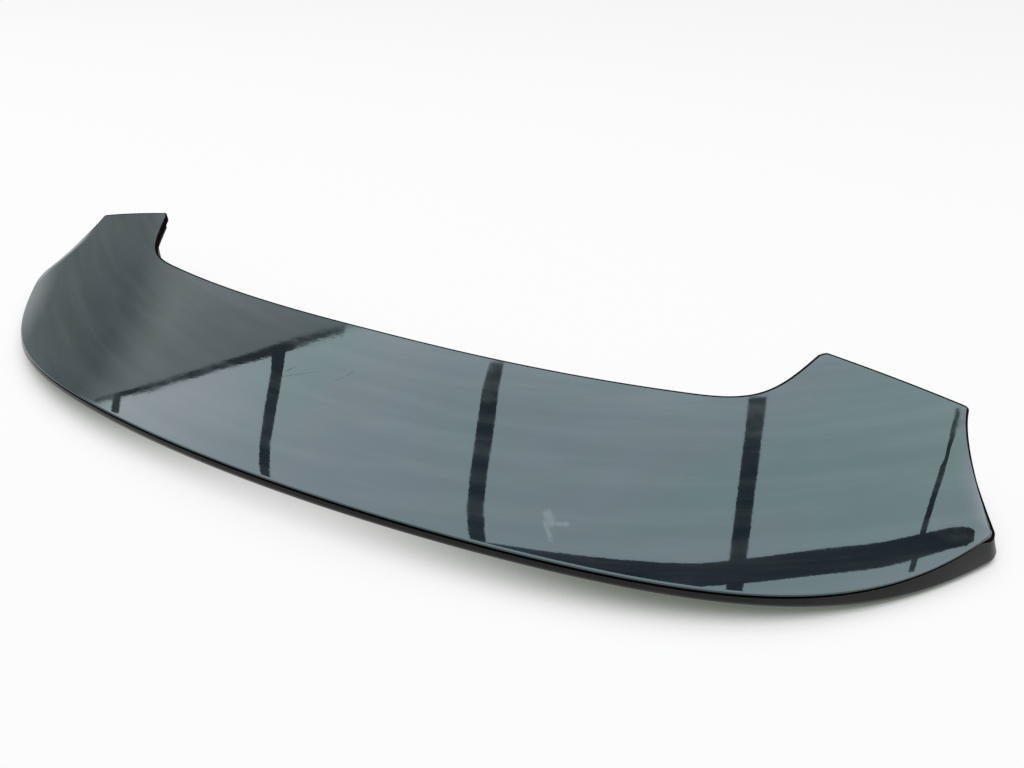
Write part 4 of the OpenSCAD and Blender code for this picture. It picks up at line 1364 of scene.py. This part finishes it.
def make_rubber():
    """Black rubber with a pale bloom in patches."""
    material, tree, shader, where = new_finish("buffer_rubber", Specular_IOR_Level=0.35)
    bloom = stretch(tree, noise(tree, where, 90.0, 5.0, 0.6), 0.45, 0.8)
    tree.links.new(blend_colours(tree, bloom, RUBBER_BLACK, RUBBER_BLOOM), shader.inputs["Base Color"])
    tree.links.new(calc(tree, "MULTIPLY_ADD", bloom, 0.2, 0.5), shader.inputs["Roughness"])
    raise_surface(tree, shader, noise(tree, where, 1500.0, 2.0), 0.2, 0.0001)
    return material


cell_foam = make_foam()
buffer_rubber = make_rubber()
print("finishes:", cell_foam.name, buffer_rubber.name)

# %% [markdown]
# ## Studs with a real thread
# A stud is a round flange that lies on its pad, and an M6 shank with a pitch of 1 mm. The thread is
# a ridge whose height depends on the angle and the height together, so it winds round the shank. It
# fades out at both ends, as a rolled thread does.

# %% Studs
STUD_REACH = 24.0
STUD_R = 3.0
STUD_SIDES = 30
TIP_CHAMFER = 1.0
NECK_MORE = 0.2
PITCH = 1.0
RINGS_PER_TURN = 6
THREAD_DEEP = 0.55
THREAD_START = 0.4
THREAD_IN = 1.2
THREAD_OUT = 1.0
RUN_OUT = 5.0
FLANGE_R = 11.0
FLANGE_T = 2.5


def thread(angle, radius, rise):
    """-depth (1 - |2f - 1|), with f the fraction of z/pitch - a/2pi; it fades out at tip and neck."""
    part = np.mod(rise / PITCH - angle / (2 * math.pi), 1.0)
    fade = smooth((rise + STUD_REACH - THREAD_START) / THREAD_IN) * smooth((-RUN_OUT - rise) / THREAD_OUT)
    return -THREAD_DEEP * fade * (1 - np.abs(2 * part - 1))


shank = np.arange(TIP_CHAMFER - STUD_REACH, -RUN_OUT, PITCH / RINGS_PER_TURN)
flange = [
    (FLANGE_R - 0.5, 0.0), (FLANGE_R, 0.5), (FLANGE_R, FLANGE_T - 0.4), (FLANGE_R - 0.4, FLANGE_T),
    (4.0, FLANGE_T), (3.2, FLANGE_T + 0.8), (2.6, FLANGE_T + 1.0), (1.0, FLANGE_T + 1.0),
]
stud_profile = np.concatenate([
    [(1.0, -STUD_REACH), (STUD_R - TIP_CHAMFER, -STUD_REACH)],
    np.stack([np.full(len(shank), STUD_R), shank], -1),
    [(STUD_R, -RUN_OUT), (STUD_R + NECK_MORE, NECK_MORE - RUN_OUT), (STUD_R + NECK_MORE, PAD_STACK)],
    np.array(flange) + (0.0, PAD_STACK),
])
for label, place in (("inner", inner_stud), ("outer", outer_stud)):
    stud = turned(stud_profile, place, pad_low(place), sides=STUD_SIDES, swell=thread)
    for side_name, solid in (("left", mirror_solid(stud)), ("right", stud)):
        make_piece(
            f"steel_stud_{label}_{side_name}", *solid, finish=zinc_steel, slot="stud_steel",
            replaces=[f"stud_{label}_{side_name}"], sharp=40,
        )

# %% [markdown]
# ## Foam rings under the pads
# A ring of foam sits round each stud and seals its hole in the tailgate. Its side is a little uneven
# half way up, as cut foam is, and its lower edge is rounded.

# %% Foam rings
RING_BORE = 3.6
RING_R = 12.0
FOAM_T = 4.0
RING_RADII = [0.4, 1.2, 0.4, 0.3]
WAVE = 0.16
WAIST = 0.2
WAVE_START = 0.7


def uneven(angle, radius, rise):
    """(wave sin(3a + start) - waist) sin(pi z/t) on the outside only: three waves, strongest half way up."""
    waves = np.where(radius > RING_R - 2.0, WAVE * np.sin(3 * angle + WAVE_START) - WAIST, 0.0)
    return waves * np.sin(math.pi * rise / FOAM_T)


for label, place in (("inner", inner_stud), ("outer", outer_stud)):
    corners = np.array([[RING_BORE, 0.0], [RING_R, 0.0], [RING_R, FOAM_T], [RING_BORE, FOAM_T]])
    section = soften(corners, RING_RADII, steps=6)
    ring_solid = turned(section, place, pad_low(place) - FOAM_T, sides=48, closed=True, swell=uneven)
    for side_name, solid in (("left", mirror_solid(ring_solid)), ("right", ring_solid)):
        piece = make_piece(
            f"foam_ring_{label}_{side_name}", *solid, finish=cell_foam, slot="seal_foam",
            replaces=[f"stud_seal_{label}_{side_name}"], sharp=60,
        )

# %% [markdown]
# ## Foam strips
# A D-shaped foam strip runs under the front edge, one under each horn's end, and one along the deck.
# Each is a half round carried along its line: flat on top, where its tape holds it, and rounded
# below. A bevelled curve would tilt in the bends, while this section always hangs straight down.

# %% Foam strips
STRIP_W = 6.0
STRIP_T = 5.0
STRIP_IN = 7.8
DECK_STRIP_W = 7.0
DECK_STRIP_T = 4.0
DECK_STRIP_IN = 7.0
OUT_POWER = 0.8
DOWN_POWER = 0.75
ROUND_POINTS = 17
FLAT_POINTS = 4


def strip_solid(line, across, width, thick):
    """Section: across w/2 sign(cos a)|cos a|^0.8, down t sin(a)^0.75, a from 0 to pi, then a flat top."""
    a = np.linspace(0, math.pi, ROUND_POINTS)
    out = np.sign(np.cos(a)) * np.abs(np.cos(a)) ** OUT_POWER * width / 2
    down = np.sin(a) ** DOWN_POWER * thick
    out = np.concatenate([out, np.linspace(-0.8, 0.8, FLAT_POINTS) * width / 2])
    down = np.concatenate([down, np.zeros(FLAT_POINTS)])
    level_across = np.column_stack([across, np.zeros(len(across))])
    points = line[:, None] + level_across[:, None] * out[None, :, None]
    points = points - np.array([0.0, 0.0, 1.0]) * down[None, :, None]
    size = len(out)
    solid = outwards(points.reshape(-1, 3), grid_quads(len(line), size, close_cols=True))
    return face_caps(solid, [np.arange(size), (len(line) - 1) * size + np.arange(size)])


print("the deck strip is", DECK_STRIP_W, "by", DECK_STRIP_T, "mm")

# %% Lines of the strips
edge_in = inward(front_row, closed=False)
strip_plan = front_row - edge_in * STRIP_IN
strip_top = skin_height(strip_plan[:, 0], strip_plan[:, 1]) - LAND_DEPTH - FIT_GAP
strip_line = np.column_stack([strip_plan[:, 0], strip_plan[:, 1] - MID_Y, strip_top])
under_front = np.abs(front_row[:, 0]) <= FILLET_START
horn_run = (front_row[:, 0] > FILLET_START) & (np.arange(columns) <= columns - HALF_CORNER_POINTS)
foam_lines = {
    "front_strip": (strip_line[under_front], edge_in[under_front], STRIP_W, STRIP_T),
    "horn_strip_right": (strip_line[horn_run], edge_in[horn_run], STRIP_W, STRIP_T),
}
deck_start, deck_end = main_start[:-2], front_inner[:main_count][:-2]
deck_v = KEEL_AT + KEEL_RAMP + DECK_STRIP_IN / np.linalg.norm(deck_end - deck_start, axis=1)
deck_bow = (bezier(side, deck_v) - side_a - (side_c - side_a) * deck_v[:, None]) * main_bow[:-2, None]
deck_plan = deck_start + (deck_end - deck_start) * deck_v[:, None] + deck_bow
deck_low = deck_height(deck_end[:, 0]) - FIT_GAP
deck_line = both_halves(np.column_stack([deck_plan[:, 0], deck_plan[:, 1] - MID_Y, deck_low]))
foam_lines["deck_strip"] = (deck_line, inward(deck_line[:, :2], closed=False), DECK_STRIP_W, DECK_STRIP_T)
print("lines:", {name: len(run[0]) for name, run in foam_lines.items()})

# %% Strips as pieces
strips = {name: strip_solid(*run) for name, run in foam_lines.items()}
strips["horn_strip_left"] = mirror_solid(strips["horn_strip_right"])
for name, solid in strips.items():
    piece = make_piece(
        f"foam_{name}", *solid, finish=cell_foam, slot="strip_foam", replaces=[name], sharp=60
    )

# %% [markdown]
# ## Rubber buffers
# A ribbed rubber head stands under the deck beside each outer stud, and keeps the spoiler off the
# tailgate. Its barbed stem was pulled through the pad.

# %% Buffers
buffer_profile = round_off([
    (1.5, -9.0), (5.0, -9.0), (6.5, -7.5), (7.5, -5.0), (6.5, -4.0), (8.0, -3.0), (8.0, 0.0),
    (3.5, 0.0), (3.5, PAD_STACK), (5.1, PAD_STACK), (2.7, PAD_STACK + 6.0), (1.0, PAD_STACK + 6.0),
], radius=0.6, steps=4)
buffer_solid = turned(buffer_profile, buffer_at, pad_low(buffer_at), sides=40)
for side_name, solid in (("left", mirror_solid(buffer_solid)), ("right", buffer_solid)):
    make_piece(
        f"rubber_buffer_{side_name}", *solid, finish=buffer_rubber, slot="buffer_rubber",
        replaces=[f"buffer_{side_name}"], sharp=55,
    )

# %% [markdown]
# ## Panel screws
# Pan-head screws join the panel to the bosses. Each head has a star-shaped recess: the rings inside
# it swing in and out six times on the way round.

# %% Screws
SCREW_R = 1.9
SCREW_LEN = 11.0
HEAD_R = SCREW_R * 1.9
HEAD_H = 2.4
STAR_R = (1.0, 1.5)
STAR_WAVE = 0.2
screw_profile = [
    (0.5, 1.3 - HEAD_H), (1.15, 1.2 - HEAD_H), (1.35, 0.1 - HEAD_H), (1.7, -HEAD_H), (2.2, -HEAD_H),
    (2.9, 0.3 - HEAD_H), (3.35, 0.75 - HEAD_H), (HEAD_R, -0.8), (HEAD_R, 0.0), (SCREW_R, 0.0),
    (SCREW_R, SCREW_LEN - 2.0), (0.3, SCREW_LEN),
]


def star(angle, radius, rise):
    """wave cos 6a on the rings of the recess, which are those between the two star radii."""
    in_recess = (radius > STAR_R[0]) & (radius < STAR_R[1]) & (rise < 0)
    return np.where(in_recess, STAR_WAVE * np.cos(6 * angle), 0.0)


def screw(place):
    """One screw at its place on the land."""
    return turned(screw_profile, place, land_low(place), sides=36, swell=star)


front_half = [screw(place) for place in front_screws]
horn_half = [screw(place) for place in horn_screws]
screw_groups = {
    "front_screws": front_half + [mirror_solid(solid) for solid in front_half],
    "horn_screws_right": horn_half,
    "horn_screws_left": [mirror_solid(solid) for solid in horn_half],
}
for name, solids in screw_groups.items():
    make_piece(
        f"steel_{name}", *joined(solids), finish=zinc_steel, slot="screw_steel", replaces=[name], sharp=35
    )

# %% [markdown]
# ## The spring clips
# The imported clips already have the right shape, a folded strip with a barb on each leg. They stay,
# and only their material is changed.

# %% Clips
for name in ("clip_left", "clip_right"):
    clip_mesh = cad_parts[name].data
    clip_mesh.materials.clear()
    clip_mesh.materials.append(spring_steel)
print("clips keep their packed shape")

# %% [markdown]
# ## The studio
# The gloss paint shows what hangs above it, so the studio is built like a skylight: pale panes high
# over the part, with dark bars hung below them. The panes give most of the soft light too. Area
# lamps would light the part as well, but a sheet can have a shape of its own, and the paint shows
# that shape.

# %% Stage helpers


def stage_mesh(name, points_mm, quads, material):
    """A sheet of the stage, which the camera doesn't see."""
    mesh = bpy.data.meshes.new(name)
    mesh.from_pydata((np.asarray(points_mm, float) * MM).tolist(), [], quads)
    mesh.materials.append(material)
    sheet = bpy.data.objects.new(name, mesh)
    scene.collection.objects.link(sheet)
    sheet.visible_camera = False
    return sheet


def stage_sheet(name, corners_mm, material):
    """One flat quad of the stage."""
    return stage_mesh(name, corners_mm, [[0, 1, 2, 3]], material)


def level_sheet(name, one_side, other_side, height, material):
    """A sheet between two lines of as many plan points each, all at one height."""
    flat = np.concatenate([one_side, other_side])
    points = np.column_stack([flat, np.full(len(flat), height)])
    return stage_mesh(name, points, grid_quads(2, len(one_side)).tolist(), material)


def glow(name, colour, strength):
    """A plain emitting material."""
    material = bpy.data.materials.new(name)
    material.use_nodes = True
    tree = material.node_tree
    tree.nodes.clear()
    emission = add(tree, "ShaderNodeEmission", {"Color": (*colour, 1.0), "Strength": strength})
    output = add(tree, "ShaderNodeOutputMaterial")
    tree.links.new(emission.outputs[0], output.inputs[0])
    return material


print("stage helpers ready")

# %% Pane finish
PANE_GLOW = 2.6
PANE_WARM = (1.03, 0.965, 1.03, 1.0)
PANE_COOL = (0.90, 1.0, 0.97, 1.0)


def make_pane_glow():
    """The panes' glow drifts between a purple and a green tint, in soft patches a metre or two wide."""
    material = glow("pane_glow", (1.0, 1.0, 1.0), PANE_GLOW)
    tree = material.node_tree
    where = add(tree, "ShaderNodeTexCoord").outputs["Object"]
    drift = noise(tree, squeezed(tree, where, 0.5, (0.7, 2.4, 1.0)), 1.1, 2.0)
    tint = blend_colours(tree, stretch(tree, drift, 0.35, 0.65), PANE_COOL, PANE_WARM)
    tree.links.new(tint, tree.nodes["Emission"].inputs["Color"])
    return material


pane_glow = make_pane_glow()
print("finish:", pane_glow.name)

# %% Panes
CEILING = 2400.0
PANE_NEAR = -900.0
PANE_FAR = [
    (-6400.0, 1330.0), (-4761.0, 1255.0), (-3750.0, 1196.0), (-2650.0, 1211.0), (-1970.0, 1243.0),
    (3800.0, 1400.0),
]
SIDE_PANE_FAR = [(1500.0, 1390.0), (3000.0, 2600.0), (9800.0, 8600.0)]
SIDE_PANE_NEAR = [(3790.0, PANE_NEAR), (4500.0, PANE_NEAR), (9800.0, PANE_NEAR)]
far_line = np.array(PANE_FAR)
near_line = np.column_stack([far_line[:, 0], np.full(len(far_line), PANE_NEAR)])
level_sheet("panes", far_line, near_line, CEILING, pane_glow)
side_pane = level_sheet("side_pane", SIDE_PANE_FAR, SIDE_PANE_NEAR, CEILING, pane_glow)
side_pane.visible_diffuse = False
print("the panes span, mm:", float(far_line[-1, 0] - far_line[0, 0]))

# %% [markdown]
# ## Where the bars hang
# The photograph shows where each bar is seen in the paint, not where it hangs. So a ray goes from
# the camera through such a place in the picture, meets the painted surface, is mirrored there and
# is carried on up to the height of the bar. The two sides of every bar are found in this way. The
# bars could be moved by hand until they look right, but then each change of the surface would
# move their reflections again.

# %% Mirror tracing
PICTURE_MIDDLE = (512.0, 384.0)
RAY_NEAR = 300.0
RAY_FAR = 2300.0
RAY_STEPS = 2000
HALVINGS = 30
SMALL_STEP = 0.5


def painted_at(place):
    """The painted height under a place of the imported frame."""
    return painted_height(place[..., 0], place[..., 1] + MID_Y)


def normal_at(place):
    """(-dz/dx, -dz/dy, 1) over its length, from the heights a small step to each side."""
    step_x, step_y = np.array([SMALL_STEP, 0, 0]), np.array([0, SMALL_STEP, 0])
    slope_x = painted_at(place + step_x) - painted_at(place - step_x)
    slope_y = painted_at(place + step_y) - painted_at(place - step_y)
    return unit(np.stack([-slope_x, -slope_y, np.full_like(slope_x, 2 * SMALL_STEP)], -1))


def mirrored_up(pixels, height):
    """Plan places at a height that the paint shows at these pixels: the hit by halving, then d - 2(d.n)n."""
    off = (np.asarray(pixels, float) - PICTURE_MIDDLE) / FOCAL_PX
    ray = unit(forward + right * off[:, :1] - up * off[:, 1:])
    reach = np.linspace(RAY_NEAR, RAY_FAR, RAY_STEPS)
    spots = CAMERA_PLACE + ray[:, None] * reach[None, :, None]
    first = np.argmax(spots[..., 2] < painted_at(spots), axis=1)
    low, high = reach[first - 1], reach[first]
    for _ in range(HALVINGS):
        middle = (low + high) / 2
        spot = CAMERA_PLACE + ray * middle[:, None]
        above = spot[:, 2] > painted_at(spot)
        low, high = np.where(above, middle, low), np.where(above, high, middle)
    hit = CAMERA_PLACE + ray * low[:, None]
    normal = normal_at(hit)
    out = ray - 2 * (ray * normal).sum(-1, keepdims=True) * normal
    return (hit + out * ((height - hit[:, 2]) / out[:, 2])[:, None])[:, :2]


print("the middle of the picture shows, mm:", mirrored_up([PICTURE_MIDDLE], CEILING).round(0))

# %% Places in the picture where the bars' two sides are seen
FAR_BAR_SEEN = [
    (95, 399, 95, 402), (127, 390.5, 127, 395), (159, 381.5, 159, 387), (191, 371.5, 191, 379),
    (223, 361.5, 223, 369), (255, 351.5, 255, 361), (287, 340.5, 287, 352), (319, 331.5, 319, 340),
    (345, 325.5, 345, 333),
]
NEAR_BAR_SEEN = [
    (470, 540, 470, 542), (500, 544.5, 500, 548), (540, 550.5, 540, 557), (580, 555.5, 580, 566),
    (620, 559.5, 620, 575), (660, 562.5, 660, 582), (700, 563.5, 700, 587), (760, 557, 760, 582),
    (820, 549, 820, 575), (880, 542.5, 880, 568), (920, 534, 920, 558), (950, 527.5, 950, 549),
    (966, 527, 966, 546), (975, 531, 974, 541),
]
LEFT_BAR_SEEN = [(113, 395, 121, 395), (111, 413, 119, 414)]
SECOND_BAR_SEEN = [
    (271.5, 352, 286, 349), (271, 371, 283, 371), (264.5, 407, 276.5, 407), (259.5, 443, 270.5, 443),
    (259, 461, 269.5, 461), (261, 480, 270, 481),
]
THIRD_BAR_SEEN = [
    (490, 362, 504, 362), (482, 390, 498.5, 390), (476, 432, 493.5, 432), (470, 474, 487, 474),
    (466.5, 510, 483.5, 510), (468, 530, 484.5, 530), (471, 546, 487, 548),
]
FOURTH_BAR_SEEN = [
    (749, 397, 767, 397), (744, 440, 761.5, 440), (737, 496, 754.5, 496), (730, 552, 747.5, 552),
    (725, 596, 742, 597),
]
THIN_BAR_SEEN = [
    (958.6, 408, 955.2, 409), (957.8, 420, 953.8, 420), (954.6, 438, 949.6, 438), (946, 466, 940.6, 466),
    (935.6, 500, 929.8, 500), (926, 532, 920, 532), (914, 572, 908, 572),
]
print("places along the near bar:", len(NEAR_BAR_SEEN))

# %% Bars
BAR_GLOW = 0.06
BARS = {
    "far_bar": (FAR_BAR_SEEN, 2375.0),
    "near_bar": (NEAR_BAR_SEEN, 320.0),
    "left_bar": (LEFT_BAR_SEEN, 1500.0),
    "second_bar": (SECOND_BAR_SEEN, 1100.0),
    "third_bar": (THIRD_BAR_SEEN, 900.0),
    "fourth_bar": (FOURTH_BAR_SEEN, 700.0),
    "thin_bar": (THIN_BAR_SEEN, 250.0),
}
bar_dark = glow("bar_dark", (1.0, 1.0, 1.0), BAR_GLOW)
for name, (seen, height) in BARS.items():
    sides = np.array(seen, float)
    one_side, other_side = mirrored_up(sides[:, :2], height), mirrored_up(sides[:, 2:], height)
    bar = level_sheet(name, one_side, other_side, height, bar_dark)
    bar.visible_diffuse = False
    bar.visible_shadow = False
print("bars:", list(BARS))

# %% [markdown]
# ## A grey card beside the left horn
# The left horn in the photograph shows neither the panes nor the white room, but something grey.
# A darker room would dim the rest too, so a card stands there, faded at both edges. Only the gloss
# sees it.

# %% Grey card
CARD_X = -2500.0
CARD_Y = (-1500.0, 2500.0)
CARD_LOW = 200.0
CARD_HIGH = 1450.0
FADE_LOW = 250.0
FADE_HIGH = 450.0
CARD_GREY = 0.41
CARD_TINT = (0.9, 1.0, 0.98)


def make_card_finish():
    """A grey glow that fades to clear at its lower and upper edges, by the height of the place."""
    material = glow("card_grey", CARD_TINT, CARD_GREY)
    tree = material.node_tree
    where = add(tree, "ShaderNodeTexCoord").outputs["Object"]
    tall = add(tree, "ShaderNodeSeparateXYZ", {0: where}).outputs[2]
    rise_in = stretch(tree, tall, CARD_LOW * MM, (CARD_LOW + FADE_LOW) * MM)
    fade_out = stretch(tree, tall, (CARD_HIGH - FADE_HIGH) * MM, CARD_HIGH * MM, 1.0, 0.0)
    share = calc(tree, "MULTIPLY", rise_in, fade_out)
    clear = add(tree, "ShaderNodeBsdfTransparent").outputs[0]
    shown = tree.nodes["Emission"].outputs[0]
    mix = add(tree, "ShaderNodeMixShader", {0: share, 1: clear, 2: shown})
    tree.links.new(mix.outputs[0], tree.nodes["Material Output"].inputs[0])
    return material


card_corners = [
    (CARD_X, CARD_Y[0], CARD_LOW), (CARD_X, CARD_Y[1], CARD_LOW),
    (CARD_X, CARD_Y[1], CARD_HIGH), (CARD_X, CARD_Y[0], CARD_HIGH),
]
card = stage_sheet("grey_card", card_corners, make_card_finish())
card.visible_diffuse = False
card.visible_shadow = False
print("card ready")

# %% [markdown]
# ## The floor and the room
# The photograph has a white ground with a narrow grey-green shade close under the part. Most of the
# floor's tone is its own, so it stays near white, and the rest is lit and keeps the soft shadow. An
# Ambient Occlusion node darkens it where the part is near. Seen from below the floor is clear, so
# that the underside can be looked at. The world is white to the eye and a plain fill to the part.

# %% Floor
FLOOR_SIZE = 12000.0
FLOOR_UNDER = 0.4
FLOOR_PALE = (0.97, 0.97, 0.97, 1.0)
FLOOR_MATT = (0.92, 0.92, 0.92, 1.0)
OWN_SHARE = 0.9
CONTACT_REACH = 0.05
SHUT_IN = 0.25
OPEN = 0.93
SHADE = (0.13, 0.15, 0.12, 1.0)


def make_floor_finish():
    """Pale, mostly by its own glow, darker to the camera close under the part, and clear from below."""
    material = bpy.data.materials.new("pale_floor")
    material.use_nodes = True
    tree = material.node_tree
    tree.nodes.clear()
    matt = add(tree, "ShaderNodeBsdfDiffuse", {"Color": FLOOR_MATT})
    near = add(tree, "ShaderNodeAmbientOcclusion", {"Distance": CONTACT_REACH}, samples=16)
    ray = add(tree, "ShaderNodeLightPath")
    open_share = stretch(tree, near.outputs["AO"], SHUT_IN, OPEN)
    open_share = calc(tree, "MAXIMUM", open_share, ray.outputs["Is Glossy Ray"])
    tone = blend_colours(tree, open_share, SHADE, FLOOR_PALE)
    own = add(tree, "ShaderNodeEmission", {"Color": tone, "Strength": 1.0})
    seen = calc(tree, "MAXIMUM", ray.outputs["Is Camera Ray"], ray.outputs["Is Glossy Ray"])
    seen = calc(tree, "MAXIMUM", seen, ray.outputs["Is Transmission Ray"])
    share = calc(tree, "MULTIPLY", seen, OWN_SHARE)
    mix = add(tree, "ShaderNodeMixShader", {0: share, 1: matt.outputs[0], 2: own.outputs[0]})
    below = add(tree, "ShaderNodeNewGeometry").outputs["Backfacing"]
    clear = add(tree, "ShaderNodeBsdfTransparent")
    sided = add(tree, "ShaderNodeMixShader", {0: below, 1: mix.outputs[0], 2: clear.outputs[0]})
    output = add(tree, "ShaderNodeOutputMaterial")
    tree.links.new(sided.outputs[0], output.inputs[0])
    return material


half = FLOOR_SIZE / 2
floor_plan = [(-half, -half), (half, -half), (half, half), (-half, half)]
floor_corners = [(x, y, -FLOOR_UNDER) for x, y in floor_plan]
floor = stage_sheet("floor", floor_corners, make_floor_finish())
floor.visible_camera = True
print("floor, m wide:", FLOOR_SIZE * MM)

# %% World
ROOM_PALE = (0.97, 0.97, 0.97, 1.0)
FILL_STRENGTH = 0.3


def make_world():
    """Near white for the camera and the gloss, and a plain grey fill for the soft light."""
    world = bpy.data.worlds.new("soft_room")
    world.use_nodes = True
    tree = world.node_tree
    tree.nodes.clear()
    seen_colour = add(tree, "ShaderNodeBackground", {"Color": ROOM_PALE, "Strength": 1.0})
    fill = {"Color": (1.0, 1.0, 1.0, 1.0), "Strength": FILL_STRENGTH}
    fill_colour = add(tree, "ShaderNodeBackground", fill)
    ray = add(tree, "ShaderNodeLightPath")
    seen = calc(tree, "MAXIMUM", ray.outputs["Is Camera Ray"], ray.outputs["Is Glossy Ray"])
    seen = calc(tree, "MAXIMUM", seen, ray.outputs["Is Transmission Ray"])
    mix = add(tree, "ShaderNodeMixShader", {0: seen, 1: fill_colour.outputs[0], 2: seen_colour.outputs[0]})
    output = add(tree, "ShaderNodeOutputWorld")
    tree.links.new(mix.outputs[0], output.inputs[0])
    scene.world = world


make_world()
print("world ready")
